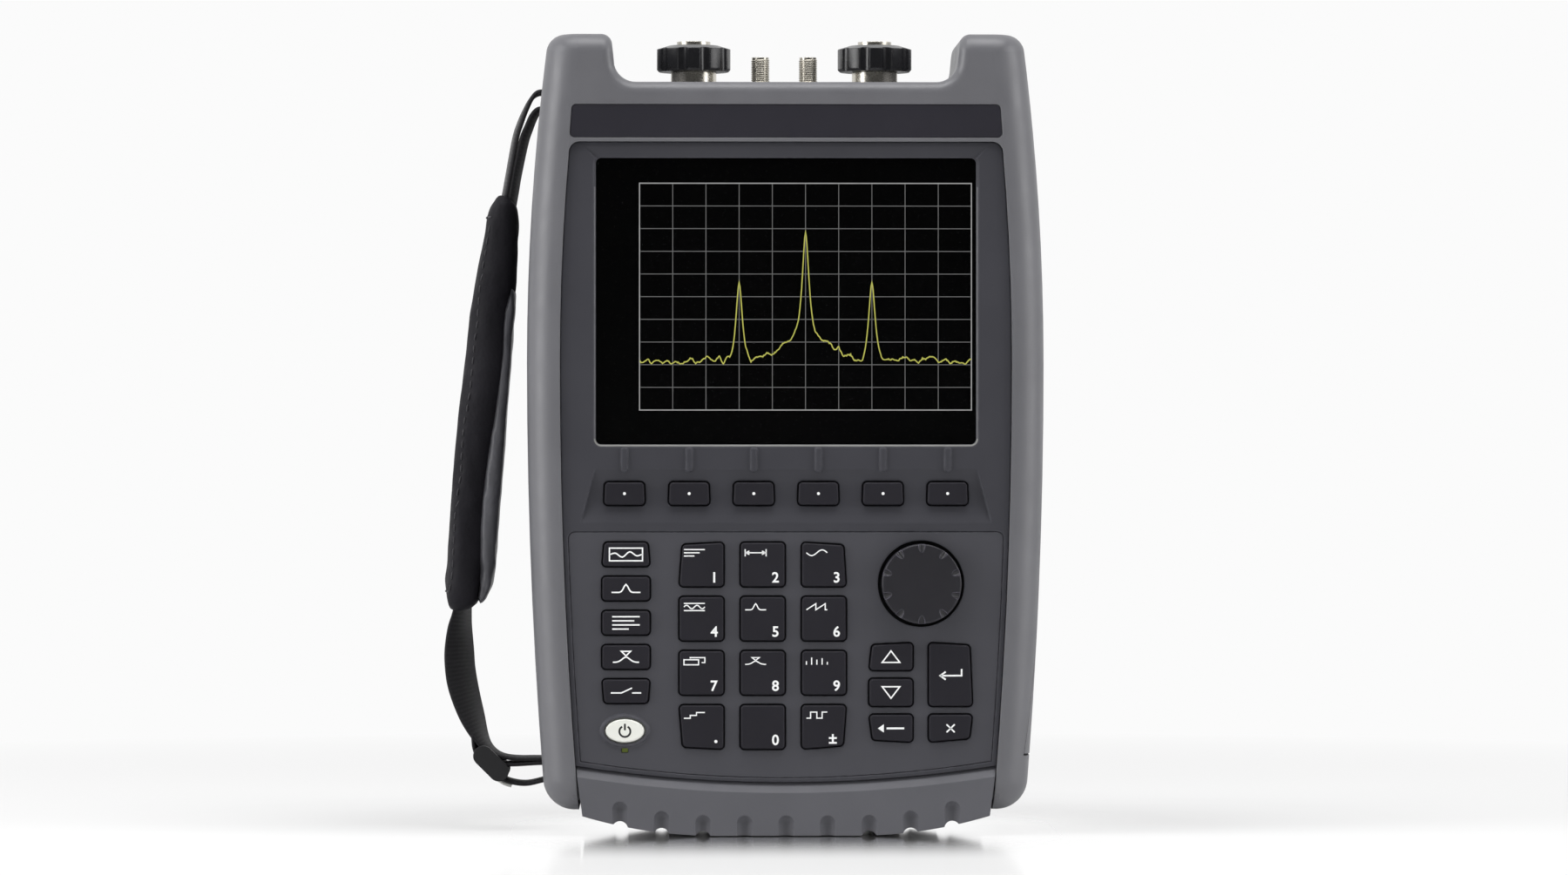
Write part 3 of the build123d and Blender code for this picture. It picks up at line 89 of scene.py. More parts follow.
# Bevel round the display window, and the painted highlight strips laid on it
WINDOW_HALF, WINDOW_LOW = 69.15, 142.3
WINDOW_CORNER = 2.0
WINDOW_CORNER_STEPS = 8
BEVEL_FRONT, BEVEL_DEPTH = -34.5, 0.9
HIGHLIGHT_INSET, HIGHLIGHT_REACH, HIGHLIGHT_LIFT = 0.2, 0.75, 0.04
HIGHLIGHT_SIDE_TOP = 236.0

# Screen picture
GRID_LEFT, GRID_RIGHT = -53.3, 67.6
GRID_LOW, GRID_HIGH = 154.8, 237.4
GRID_CELLS = 10
GRID_LINE = 0.28
FRAME_LINE = 0.4
TRACE_LINE = 0.4
GRID_LIFT, FRAME_LIFT, TRACE_LIFT = 0.05, 0.12, 0.2

# Keys: centre across, centre height
SOFTKEY_LEFT, SOFTKEY_PITCH, SOFTKEY_Z = -58.75, 23.5, 124.4
SOFTKEY_PLACES = [(SOFTKEY_LEFT + SOFTKEY_PITCH * index, SOFTKEY_Z) for index in range(6)]
FUNCTION_X, FUNCTION_TOP, FUNCTION_PITCH = -58.2, 102.3, 12.43
FUNCTION_PLACES = [(FUNCTION_X, FUNCTION_TOP - FUNCTION_PITCH * index) for index in range(5)]
DIGIT_COLUMNS = (-30.75, -8.5, 13.75)
DIGIT_ROWS = (98.6, 78.9, 59.2, 39.5)
DIGIT_NAMES = (("1", "2", "3"), ("4", "5", "6"), ("7", "8", "9"), ("point", "0", "sign"))
ARROW_X, ENTER_X = 38.1, 59.8
ARROW_ROWS = (65.1, 52.05, 39.0)
ENTER_Z = 58.6
POWER_X, POWER_Z = -58.6, 38.2

# Marks on the keys: shift from the key's centre, then sizes
SOFTKEY_DOT = 0.55
SIGN_PEN, DIGIT_SIGN_PEN, BOLD_PEN = 0.5, 0.42, 0.7
POINT_SHIFT, POINT_RADIUS = (5.2, -5.2), 0.58
PLUS_MINUS_SHIFT, PLUS_MINUS_HEIGHT = (3.2, -4.0), 3.9
DIGIT_SHIFT, DIGIT_HEIGHT = (4.6, -4.6), 3.7
DIGIT_SIGN_SHIFT, DIGIT_SIGN_SIZE = (-2.6, 4.3), (7.6, 2.6)
BACK_HALF, BACK_HEAD, BACK_HEAD_HALF, BACK_STEM = 4.8, 2.6, 1.5, 1.6
POWER_RING, POWER_RING_DROP, POWER_BAR = 2.0, 0.2, (0.2, 2.6)

# Connectors
PORT_X = 33.4
PORT_BORE_FLOOR = 281.8
JACK_X = 8.8
JACK_RADIUS = 3.175
JACK_BORE = 2.3
JACK_BORE_FLOOR = 283.2
INSULATOR_GAP, INSULATOR_SINK, INSULATOR_RISE = 0.05, 0.1, 0.5
THREAD_LOW, THREAD_HIGH = 275.3, 284.8
THREAD_PITCH = 0.7056
THREAD_RISE, THREAD_SINK = 0.28, 0.05
THREAD_FOOT_SHARES = (0.02, 0.98)
THREAD_FADE_STEPS = 10

# Centre contacts: radius, height above the floor of the bore
JACK_CONTACT = ((0.64, 0), (0.64, 1.0), (0.5, 1.15))
PORT_CONTACT = ((1.52, 0), (1.52, 6.0), (1.2, 6.4))

# Strap
STRAP_Y = 8.0
WEB_WIDTH = 20.0
WEB_TOP_THICK, WEB_LOW_THICK, WEB_TAIL_THICK = 1.6, 1.3, 1.2
WEB_CROWN_SHARE = 1.04
GRIP_WIDTH = 35.0


def rgb(code):
    """Linear colour of a screen colour such as 6b6b6e."""
    parts = [int(code[i:i + 2], 16) / 255 for i in (0, 2, 4)]
    linear = [c / 12.92 if c <= 0.04045 else ((c + 0.055) / 1.055) ** 2.4 for c in parts]
    return (*linear, 1.0)


def scaled(color, share):
    """A colour made lighter or darker."""
    return (*[min(1.0, c * share) for c in color[:3]], 1.0)


# Materials: patterns in repeats per metre, relief in metres
PATCH_SCALE = 38.0
EDGE_PATCH_SCALE = 420.0
GLOSS_SCALE = 160.0
EDGE_RADIUS, METAL_EDGE_RADIUS = 0.0005, 0.0003


class Shader:
    """A procedural material: one Principled shader and the textures that feed it."""

    def __init__(self, name, color, roughness, metallic=0.0, specular=0.5):
        self.material = bpy.data.materials.new(name)
        self.material.use_nodes = True
        self.tree = self.material.node_tree
        self.bsdf = self.tree.nodes["Principled BSDF"]
        self.color = rgb(color)
        self.roughness = roughness
        self.set("Base Color", self.color)
        self.set("Roughness", roughness)
        self.set("Metallic", metallic)
        self.set("Specular IOR Level", specular)
        self.place = self.add("TexCoord", {}).outputs["Object"]

    def set(self, socket, value):
        """Give one socket of the shader a constant or the output of a texture."""
        if isinstance(value, bpy.types.NodeSocket):
            self.tree.links.new(value, self.bsdf.inputs[socket])
        else:
            self.bsdf.inputs[socket].default_value = value

    def add(self, kind, sockets, **settings):
        """Add a texture or a mathematical step with its inputs."""
        node = self.tree.nodes.new("ShaderNode" + kind)
        for name, value in settings.items():
            setattr(node, name, value)
        for name, value in sockets.items():
            if isinstance(value, bpy.types.NodeSocket):
                self.tree.links.new(value, node.inputs[name])
            else:
                node.inputs[name].default_value = value
        return node

    def noise(self, scale, detail=2.0, place=None):
        """Soft random pattern; scale is in repeats per metre."""
        sockets = {"Vector": place or self.place, "Scale": scale, "Detail": detail}
        return self.add("TexNoise", sockets).outputs["Fac"]

    def between(self, value, low, high, start=0.3, end=0.7):
        """Map a pattern's range start..end to low..high."""
        sockets = {"Value": value, "From Min": start, "From Max": end, "To Min": low, "To Max": high}
        return self.add("MapRange", sockets).outputs["Result"]

    def blend(self, share, first, second):
        """Mix two colours by a share."""
        return self.add("Mix", {0: share, 6: first, 7: second}, data_type="RGBA").outputs[2]

    def times(self, first, second):
        """Product of two patterns."""
        return self.add("Math", {0: first, 1: second}, operation="MULTIPLY").outputs[0]

    def bump(self, height, distance, normal=None):
        """Surface relief; distance is in metres."""
        sockets = {"Height": height, "Distance": distance, "Strength": 1.0}
        if normal:
            sockets["Normal"] = normal
        return self.add("Bump", sockets).outputs["Normal"]

    def rounded(self, radius):
        """Normal that rounds sharp edges, and a mask that is 1 on those edges."""
        normal = self.add("Bevel", {"Radius": radius}, samples=4).outputs["Normal"]
        flat = self.add("NewGeometry", {}).outputs["Normal"]
        near = self.add("VectorMath", {0: normal, 1: flat}, operation="DOT_PRODUCT").outputs["Value"]
        return normal, self.between(near, 1.0, 0.0, 0.86, 0.995)

    def mottle(self, spread, scale, edge=None, wear_and_highlight=0.0):
        """Slight unevenness of the colour, and lighter edges: partly rubbed in patches, partly a painted
        highlight where edges would catch the light.
        """
        share = self.between(self.noise(scale, 3.0), 0.0, 1.0)
        color = self.blend(share, scaled(self.color, 1 - spread), scaled(self.color, 1 + spread))
        # Lighter edges in patches: partly rubbing, partly a painted highlight along the edges
        if wear_and_highlight and edge:
            patches = self.between(self.noise(EDGE_PATCH_SCALE, 2.0), 0.15, 1.0)
            worn_and_lit = self.times(edge, patches)
            color = self.blend(worn_and_lit, color, scaled(self.color, 1 + wear_and_highlight))
        self.set("Base Color", color)

    def uneven(self, spread, scale):
        """Slight unevenness of the gloss."""
        low, high = max(0.02, self.roughness - spread), self.roughness + spread
        self.set("Roughness", self.between(self.noise(scale, 2.0), low, high))


def moulded(name, color, roughness, grain=2200.0, depth=1.6e-5, spread=0.05, wear_and_highlight=0.35, specular=0.35,
            edge_radius=EDGE_RADIUS, gloss_spread=0.05):
    """Moulded plastic or rubber with a fine grain, edges lightened by rubbing and by a painted highlight,
    and a slightly uneven gloss.
    """
    shader = Shader(name, color, roughness, specular=specular)
    normal, edge = shader.rounded(edge_radius) if wear_and_highlight else (None, None)
    shader.mottle(spread, PATCH_SCALE, edge, wear_and_highlight)
    shader.uneven(gloss_spread, GLOSS_SCALE)
    shader.set("Normal", shader.bump(shader.noise(grain, 2.0), depth, normal))
    return shader.material


def metal(name, color, roughness, grain=(600.0, 600.0, 4000.0), depth=4e-6, spread=0.08):
    """Turned or plated metal with fine tool marks."""
    shader = Shader(name, color, roughness, metallic=1.0)
    stretched = shader.add("Mapping", {"Vector": shader.place, "Scale": grain}).outputs["Vector"]
    marks = shader.noise(1.0, 2.0, stretched)
    normal, edge = shader.rounded(METAL_EDGE_RADIUS)
    shader.mottle(spread, 90.0, edge, 0.2)
    shader.set("Roughness", shader.between(marks, roughness - 0.06, roughness + 0.1))
    shader.set("Normal", shader.bump(marks, depth, normal))
    return shader.material


def board(name, color):
    """Circuit board with solder mask over tracks."""
    shader = Shader(name, color, 0.4)
    tracks = shader.add("TexVoronoi", {"Vector": shader.place, "Scale": 220.0}, distance="MANHATTAN")
    share = shader.between(tracks.outputs["Distance"], 0.0, 1.0, 0.1, 0.6)
    shader.set("Base Color", shader.blend(share, scaled(shader.color, 0.8), scaled(shader.color, 1.25)))
    shader.set("Normal", shader.bump(share, 2e-5))
    return shader.material


def glass(name):
    """Thin clear window with faint smudges."""
    shader = Shader(name, "0b0c0d", 0.3, specular=0.0)
    shader.mottle(0.3, 45.0)
    shader.set("Alpha", 0.05)
    return shader.material


def printed(name, color, roughness=0.55):
    """Screen-printed ink."""
    shader = Shader(name, color, roughness, specular=0.2)
    shader.mottle(0.05, 900.0)
    return shader.material


def glow(name, color, strength):
    """Lit line or lamp."""
    shader = Shader(name, "050505", 0.6, specular=0.1)
    level = shader.between(shader.noise(300.0, 1.0), strength * 0.92, strength * 1.06)
    shader.set("Emission Color", rgb(color))
    shader.set("Emission Strength", level)
    return shader.material


def webbing_cloth(name, color):
    """Woven nylon webbing: ribs along the length and picks across it."""
    shader = Shader(name, color, 0.72, specular=0.25)
    uv = shader.add("TexCoord", {}).outputs["UV"]
    cells = shader.add("Mapping", {"Vector": uv, "Scale": (900.0, 420.0, 1.0)}).outputs["Vector"]
    ribs = {"Vector": cells, "Scale": 0.5, "Distortion": 0.6}
    along = shader.add("TexWave", ribs, bands_direction="Y")
    across = shader.add("TexWave", ribs, bands_direction="X")
    weave = shader.times(along.outputs["Fac"], across.outputs["Fac"])
    fuzz = shader.between(shader.noise(5000.0, 2.0), 0.75, 1.2)
    height = shader.times(weave, fuzz)
    shader.set("Base Color", shader.blend(height, scaled(shader.color, 0.8), scaled(shader.color, 1.5)))
    shader.set("Normal", shader.bump(height, 7e-5))
    shader.set("Sheen Weight", 0.15)
    return shader.material


def soft_leather(name, color, roughness, specular):
    """Coated leather-like cloth with pebbled grain and soft creases."""
    shader = Shader(name, color, roughness, specular=specular)
    pebbles = shader.add("TexVoronoi", {"Vector": shader.place, "Scale": 900.0}, feature="SMOOTH_F1")
    creases = shader.between(shader.noise(90.0, 4.0), 0.0, 1.0)
    height = shader.times(pebbles.outputs["Distance"], shader.between(creases, 0.6, 1.0, 0.0, 1.0))
    shader.mottle(0.18, 60.0)
    shader.uneven(0.08, 240.0)
    fine = shader.bump(height, 1.2e-4)
    shader.set("Normal", shader.bump(creases, 3e-4, fine))
    return shader.material


FINISHES = {
    "case_grey": moulded("case_grey", "5e5e62", 0.42, 1900.0, 1.8e-5, wear_and_highlight=0.25, specular=0.5),
    # The light edges of the bezel, panel and keys are mostly a painted highlight
    "bezel_dark": moulded("bezel_dark", "3b3b40", 0.46, wear_and_highlight=1.1, specular=0.16, edge_radius=0.0009),
    "panel_dark": moulded("panel_dark", "444449", 0.48, wear_and_highlight=1.0, specular=0.2, edge_radius=0.0009),
    "key_rubber": moulded("key_rubber", "242328", 0.46, 2600.0, 1.2e-5, wear_and_highlight=1.2, specular=0.12),
    "power_ivory": moulded("power_ivory", "e0e1da", 0.42, wear_and_highlight=0.02),
    "plate_gloss": moulded("plate_gloss", "2a292f", 0.24, 900.0, 3e-6, wear_and_highlight=0.0, specular=0.4,
                           gloss_spread=0.01),
    "display_glass": glass("display_glass"),
    "display_panel": moulded("display_panel", "010101", 0.14, 900.0, 1e-6, wear_and_highlight=0.0, specular=0.2,
                             gloss_spread=0.02),
    "bumper_rubber": moulded("bumper_rubber", "545459", 0.58, 1500.0, 3e-5, wear_and_highlight=0.25, specular=0.35),
    "gasket_rubber": moulded("gasket_rubber", "1c1c1e", 0.75, specular=0.2),
    "connector_nickel": metal("connector_nickel", "c6c2b8", 0.24),
    "wheel_black": moulded("wheel_black", "17171a", 0.26, 1200.0, 5e-6, wear_and_highlight=1.2, specular=0.5),
    "deck_metal": metal("deck_metal", "8a8a8c", 0.38),
    "board_green": board("board_green", "1d5634"),
    "shield_steel": metal("shield_steel", "b9babb", 0.36),
    "socket_steel": metal("socket_steel", "b4b2ad", 0.32),
    "shaft_steel": metal("shaft_steel", "aeaeb0", 0.3),
    # The knob's very light notch edges and rim are a painted glint
    "knob_dark": moulded("knob_dark", "1e1d22", 0.38, 2400.0, 1.4e-5, wear_and_highlight=15.0),
    "battery_black": moulded("battery_black", "1e1e20", 0.55),
    "strap_fabric": webbing_cloth("strap_fabric", "1b1a1d"),
    "grip_leather": soft_leather("grip_leather", "1b1a1e", 0.66, 0.12),
    # The buckle's light edges are mostly a painted highlight
    "buckle_black": moulded("buckle_black", "1a1a1c", 0.45, wear_and_highlight=1.4),
    "screw_steel": metal("screw_steel", "57575a", 0.36),
    "lamp": glow("lamp", "8a9a4a", 0.3),
}
# Painted highlights on the window's bevel: a bright strip on the lower lip, a dimmer one on each side
LIP_HIGHLIGHT = moulded("painted_lip_highlight", "7c7c79", 0.4, wear_and_highlight=0.2)
SIDE_HIGHLIGHT = moulded("painted_side_highlight", "545458", 0.4, wear_and_highlight=0.2)
INK_WHITE = printed("ink_white", "eceded")
INK_DARK = printed("ink_dark", "2a2a2a")
GRIP_LINING = soft_leather("grip_lining", "4a4a4e", 0.36, 0.3)
THREAD_DARK = webbing_cloth("stitching", "3a393d")
TIP_GREY = moulded("tip_grey", "b4b4b0", 0.5, wear_and_highlight=0.1)
CONTACT_GOLD = metal("contact_gold", "d0a552", 0.28)
INSULATOR = moulded("insulator", "ddd9cc", 0.5, wear_and_highlight=0.0)
GRID_DIM = glow("grid_dim", "6b6b6b", 1.0)
GRID_BRIGHT = glow("grid_bright", "a0a0a0", 1.0)
TRACE_YELLOW = glow("trace_yellow", "c2c25e", 1.0)


def finish_cad_nodes():
    """Give each CAD piece the finish of its slot in the record."""
    for subpart in frame["record"]["subparts"]:
        node = frame["nodes"][subpart["node"]]
        node.data.materials.clear()
        node.data.materials.append(FINISHES[subpart["material_slot"]])


# Meshes
def make_piece(name, verts, faces, finish, body, smooth=False):
    """A mesh piece from points in millimetres that moves with one CAD body."""
    mesh = bpy.data.meshes.new(name)
    mesh.from_pydata([Vector(v) * MM for v in verts], [], faces)
    mesh.update()
    mesh.materials.append(finish)
    for polygon in mesh.polygons:
        polygon.use_smooth = smooth
    piece = bpy.data.objects.new(name, mesh)
    bpy.context.scene.collection.objects.link(piece)
    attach(piece, body)
    return piece


def tube_faces(rows, count, inward=False):
    """Faces of a closed tube made of rows of count points; inward where the rows run the other way round."""
    faces = []
    for row in range(rows - 1):
        a, b = row * count, (row + 1) * count
        for i in range(count):
            j = (i + 1) % count
            faces.append((a + i, b + i, b + j, a + j) if inward else (a + i, a + j, b + j, b + i))
    first, last = range(count), range((rows - 1) * count, rows * count)
    caps = (first, reversed(last)) if inward else (reversed(first), last)
    return faces + [tuple(cap) for cap in caps]


def arc(x, z, radius, start, end, steps=16):
    """Points of a circular arc, in degrees."""
    angles = [math.radians(start + (end - start) * i / steps) for i in range(steps + 1)]
    return [(x + radius * math.cos(a), z + radius * math.sin(a)) for a in angles]


class Drawing:
    """Thin marks on a face that looks to the front, in millimetres."""

    MITRE_LIMIT = 0.4
    CAPITAL_SHARE = 0.7

    def __init__(self, face, thick=PRINT_THICK):
        self.front = face - thick
        self.back = face + PRINT_SINK
        self.verts = []
        self.faces = []

    def fill(self, outline):
        """Solid mark with an outline that runs anticlockwise."""
        base, count = len(self.verts), len(outline)
        self.verts += [(x, self.front, z) for x, z in outline]
        self.verts += [(x, self.back, z) for x, z in outline]
        self.faces.append(tuple(range(base, base + count)))
        self.faces.append(tuple(range(base + 2 * count - 1, base + count - 1, -1)))
        for i in range(count):
            j = (i + 1) % count
            self.faces.append((base + i, base + count + i, base + count + j, base + j))

    def dot(self, x, z, radius, steps=20):
        """Round mark."""
        self.fill(arc(x, z, radius, 0, 360 - 360 / steps, steps - 1))

    def line(self, points, width, closed=False):
        """Line of a constant width through points, with mitred corners."""
        count = len(points)
        base = len(self.verts)
        for i, point in enumerate(points):
            here = Vector(point)
            before = here - Vector(points[i - 1]) if closed or i else None
            after = Vector(points[(i + 1) % count]) - here if closed or i < count - 1 else before
            before = (before or after).normalized()
            after = after.normalized()
            side = Vector((-before.y, before.x))
            mitre = (side + Vector((-after.y, after.x))).normalized()
            reach = width / 2 / max(self.MITRE_LIMIT, mitre.dot(side))
            left, right = here + mitre * reach, here - mitre * reach
            for x, z in (left, right):
                self.verts.append((x, self.front, z))
                self.verts.append((x, self.back, z))
        for i in range(count if closed else count - 1):
            a, b = base + 4 * i, base + 4 * ((i + 1) % count)
            self.faces += [(a, a + 2, b + 2, b), (a + 1, b + 1, b + 3, a + 3)]
            self.faces += [(a, b, b + 1, a + 1), (a + 2, a + 3, b + 3, b + 2)]
        if not closed:
            a, b = base, base + 4 * (count - 1)
            self.faces += [(a, a + 1, a + 3, a + 2), (b, b + 2, b + 3, b + 1)]

    def text(self, words, x, z, height, bold=0.02):
        """Digits or signs of a plain built-in face, centred on a place."""
        curve = bpy.data.curves.new("text", "FONT")
        curve.body = words
        curve.size = 1.0
        curve.resolution_u = 3
        curve.extrude = 0.01
        curve.offset = bold
        holder = bpy.data.objects.new("text", curve)
        bpy.context.scene.collection.objects.link(holder)
        graph = bpy.context.evaluated_depsgraph_get()
        mesh = bpy.data.meshes.new_from_object(holder.evaluated_get(graph))
        bpy.data.objects.remove(holder)
        points = [v.co for v in mesh.vertices]
        left, right = min(p.x for p in points), max(p.x for p in points)
        size = height / self.CAPITAL_SHARE
        base = len(self.verts)
        for point in points:
            px = x + (point.x - (left + right) / 2) * size
            pz = z + (point.y - self.CAPITAL_SHARE / 2) * size
            self.verts.append((px, self.front if point.z > 0 else self.back, pz))
        self.faces += [tuple(base + i for i in polygon.vertices) for polygon in mesh.polygons]
        bpy.data.meshes.remove(mesh)

    def sign(self, name, x, z, width, height, pen):
        """A generic pictogram scaled into a box."""
        for points in PICTOGRAMS[name]:
            closed = points[0] == points[-1]
            places = points[:-1] if closed else points
            self.line([(x + px * width / 2, z + pz * height / 2) for px, pz in places], pen, closed)

    def make(self, name, finish, body):
        """Turn the marks into one piece."""
        return make_piece(name, self.verts, self.faces, finish, body)


def sampled(formula, steps=18):
    """Polyline of a function over -1..1."""
    return [(-1 + 2 * i / steps, formula(-1 + 2 * i / steps)) for i in range(steps + 1)]


def box_line(left, right, low, high):
    """Closed rectangle."""
    return [(left, low), (right, low), (right, high), (left, high), (left, low)]


# Pictograms as lines in a box that reaches from -1 to 1
PICTOGRAMS = {
    "wave": [sampled(lambda t: 0.8 * math.sin(math.pi * t))],
    "peak": [sampled(lambda t: -0.8 + 1.7 * math.exp(-(t / 0.22) ** 2))],
    "ramp": [[(-1, -0.8), (-0.1, 0.9), (-0.1, -0.8), (0.8, 0.9), (0.8, -0.8), (1, -0.8)]],
    "steps": [[(-1, -0.8), (-0.4, -0.8), (-0.4, 0), (0.2, 0), (0.2, 0.8), (1, 0.8)]],
    "levels": [[(-1, 0.9), (1, 0.9)], [(-1, 0), (0.5, 0)], [(-1, -0.9), (0, -0.9)]],
    "span": [[(-1, 1), (-1, -1)], [(1, 1), (1, -1)], [(-0.9, 0), (0.9, 0)],
             [(-0.6, 0.5), (-0.95, 0), (-0.6, -0.5)], [(0.6, 0.5), (0.95, 0), (0.6, -0.5)]],
    "bars": [[(-1, -1), (-1, 0)], [(-0.5, -1), (-0.5, 1)], [(0, -1), (0, 0.4)], [(0.5, -1), (0.5, 0.8)],
             [(1, -1), (1, -0.2)]],
    "limits": [[(-1, 1), (1, 1)], [(-1, -1), (1, -1)], sampled(lambda t: 0.5 * math.sin(2 * math.pi * t))],
    "sheets": [box_line(-1, 0.4, -1, 0.4), [(-0.4, 0.75), (-0.4, 1), (1, 1), (1, -0.4), (0.7, -0.4)]],
    "marker": [[(-0.35, 1), (0.35, 1), (0, 0.2), (-0.35, 1)],
               sampled(lambda t: -0.9 + 0.9 * math.exp(-6 * t * t))],
    "pulse": [[(-1, -0.8), (-0.6, -0.8), (-0.6, 0.9), (0, 0.9), (0, -0.8), (0.5, -0.8), (0.5, 0.9),
               (1, 0.9)]],
    "switch": [[(-1, -0.4), (-0.3, -0.4), (0.4, 0.8)], [(0.4, -0.4), (1, -0.4)]],
    "boxed": [box_line(-1, 1, -1, 1), sampled(lambda t: 0.45 * math.sin(2 * math.pi * t) * (1 - t * t))],
    "rows": [[(-1, 0.9), (1, 0.9)], [(-1, 0.3), (0.6, 0.3)], [(-1, -0.3), (1, -0.3)],
             [(-1, -0.9), (0.2, -0.9)]],
    "return": [[(1, 0.9), (1, -0.2), (-0.9, -0.2)], [(-0.45, 0.45), (-0.95, -0.2), (-0.45, -0.85)]],
    "cross": [[(-0.7, -0.9), (0.7, 0.9)], [(-0.7, 0.9), (0.7, -0.9)]],
    "up": [[(-1, -1), (1, -1), (0, 1), (-1, -1)]],
    "down": [[(-1, 1), (0, -1), (1, 1), (-1, 1)]],
}
DIGIT_SIGNS = {
    "1": "levels", "2": "span", "3": "wave", "4": "limits", "5": "peak", "6": "ramp", "7": "sheets",
    "8": "marker", "9": "bars", "point": "steps", "sign": "pulse",
}
# Pictograms of the function keys: name, width, height
FUNCTION_SIGNS = (("boxed", 12.0, 4.6), ("peak", 10.5, 3.4), ("rows", 10.0, 5.0), ("marker", 9.5, 4.2),
                  ("switch", 11.0, 3.0))
# Keys with one pictogram: name, place, pictogram, width and height, pen
SIGN_KEYS = (
    ("key_up", (ARROW_X, ARROW_ROWS[0]), "up", (6.4, 4.2), 0.5),
    ("key_down", (ARROW_X, ARROW_ROWS[1]), "down", (6.4, 4.2), 0.5),
    ("key_enter", (ENTER_X, ENTER_Z), "return", (8.0, 4.4), 0.6),
    ("key_escape", (ENTER_X, ARROW_ROWS[2]), "cross", (4.2, 3.2), 0.55),
)


def mark_digit_key(name, x, z):
    """Digit, point or sign low on a key, and a pictogram above it."""
    mark = Drawing(KEY_CAP_FRONT)
    if name == "point":
        mark.dot(x + POINT_SHIFT[0], z + POINT_SHIFT[1], POINT_RADIUS)
    elif name == "sign":
        mark.text("±", x + PLUS_MINUS_SHIFT[0], z + PLUS_MINUS_SHIFT[1], PLUS_MINUS_HEIGHT)
    else:
        mark.text(name, x + DIGIT_SHIFT[0], z + DIGIT_SHIFT[1], DIGIT_HEIGHT)
    if name in DIGIT_SIGNS:
        place = (x + DIGIT_SIGN_SHIFT[0], z + DIGIT_SIGN_SHIFT[1])
        mark.sign(DIGIT_SIGNS[name], *place, *DIGIT_SIGN_SIZE, DIGIT_SIGN_PEN)
    mark.make(f"key_{name}_mark", INK_WHITE, f"key_{name}")


def mark_back_key(x, z):
    """Solid arrow to the left."""
    mark = Drawing(KEY_CAP_FRONT)
    mark.fill([(x - BACK_HALF, z), (x - BACK_HEAD, z - BACK_HEAD_HALF), (x - BACK_HEAD, z + BACK_HEAD_HALF)])
    mark.line([(x - BACK_STEM, z), (x + BACK_HALF, z)], BOLD_PEN)
    mark.make("key_back_mark", INK_WHITE, "key_back")


def mark_power_button(x, z):
    """Open ring with a bar in its gap."""
    mark = Drawing(KEY_CAP_FRONT)
    mark.line(arc(x, z - POWER_RING_DROP, POWER_RING, 120, 420, 24), BOLD_PEN)
    mark.line([(x, z + end) for end in POWER_BAR], BOLD_PEN)
    mark.make("power_mark", INK_DARK, "power_button")


def print_legends():
    """Marks on the keys: plain digits and generic pictograms."""
    for index, (x, z) in enumerate(SOFTKEY_PLACES, 1):
        mark = Drawing(SOFTKEY_CAP_FRONT)
        mark.dot(x, z, SOFTKEY_DOT)
        mark.make(f"softkey_{index}_dot", INK_WHITE, f"softkey_{index}")
    for index, ((x, z), (sign, width, height)) in enumerate(zip(FUNCTION_PLACES, FUNCTION_SIGNS), 1):
        mark = Drawing(KEY_CAP_FRONT)
        mark.sign(sign, x, z, width, height, SIGN_PEN)
        mark.make(f"function_key_{index}_mark", INK_WHITE, f"function_key_{index}")
    for z, names in zip(DIGIT_ROWS, DIGIT_NAMES):
        for x, name in zip(DIGIT_COLUMNS, names):
            mark_digit_key(name, x, z)
    for name, place, sign, size, pen in SIGN_KEYS:
        mark = Drawing(KEY_CAP_FRONT)
        mark.sign(sign, *place, *size, pen)
        mark.make(name + "_mark", INK_WHITE, name)
    mark_back_key(ARROW_X, ARROW_ROWS[2])
    mark_power_button(POWER_X, POWER_Z)


# Window
def highlight_strip(name, outline, finish):
    """Thin light strip on the bevel of the window, a painted highlight, along points (x, z, outward x,
    outward z).
    """
    section = ((HIGHLIGHT_INSET, HIGHLIGHT_LIFT), (HIGHLIGHT_REACH, HIGHLIGHT_LIFT),
               (HIGHLIGHT_REACH, -HIGHLIGHT_LIFT), (HIGHLIGHT_INSET, -HIGHLIGHT_LIFT))
    verts = []
    for x, z, ox, oz in outline:
        for away, lift in section:
            y = BEVEL_FRONT + BEVEL_DEPTH - away - lift
            verts.append((x + ox * (away - lift), y, z + oz * (away - lift)))
    make_piece(name, verts, tube_faces(len(outline), len(section)), finish, "case")


def paint_window_highlights():
    """Painted highlights on the window's bevel: a bright one along the lower lip and duller ones on its
    sides.
    """
    reach = WINDOW_HALF - WINDOW_CORNER
    low = WINDOW_LOW + WINDOW_CORNER
    lip = []
    for side, start in ((-1, 180), (1, 270)):
        for i in range(WINDOW_CORNER_STEPS + 1):
            angle = math.radians(start + 90 * i / WINDOW_CORNER_STEPS)
            ox, oz = math.cos(angle), math.sin(angle)
            lip.append((side * reach + WINDOW_CORNER * ox, low + WINDOW_CORNER * oz, ox, oz))
    highlight_strip("window_lip_highlight", lip, LIP_HIGHLIGHT)
    for name, side in (("left", -1), ("right", 1)):
        edge = [(side * WINDOW_HALF, z, side, 0) for z in (low, HIGHLIGHT_SIDE_TOP)]
        highlight_strip(f"window_{name}_edge", edge if side < 0 else edge[::-1], SIDE_HIGHLIGHT)


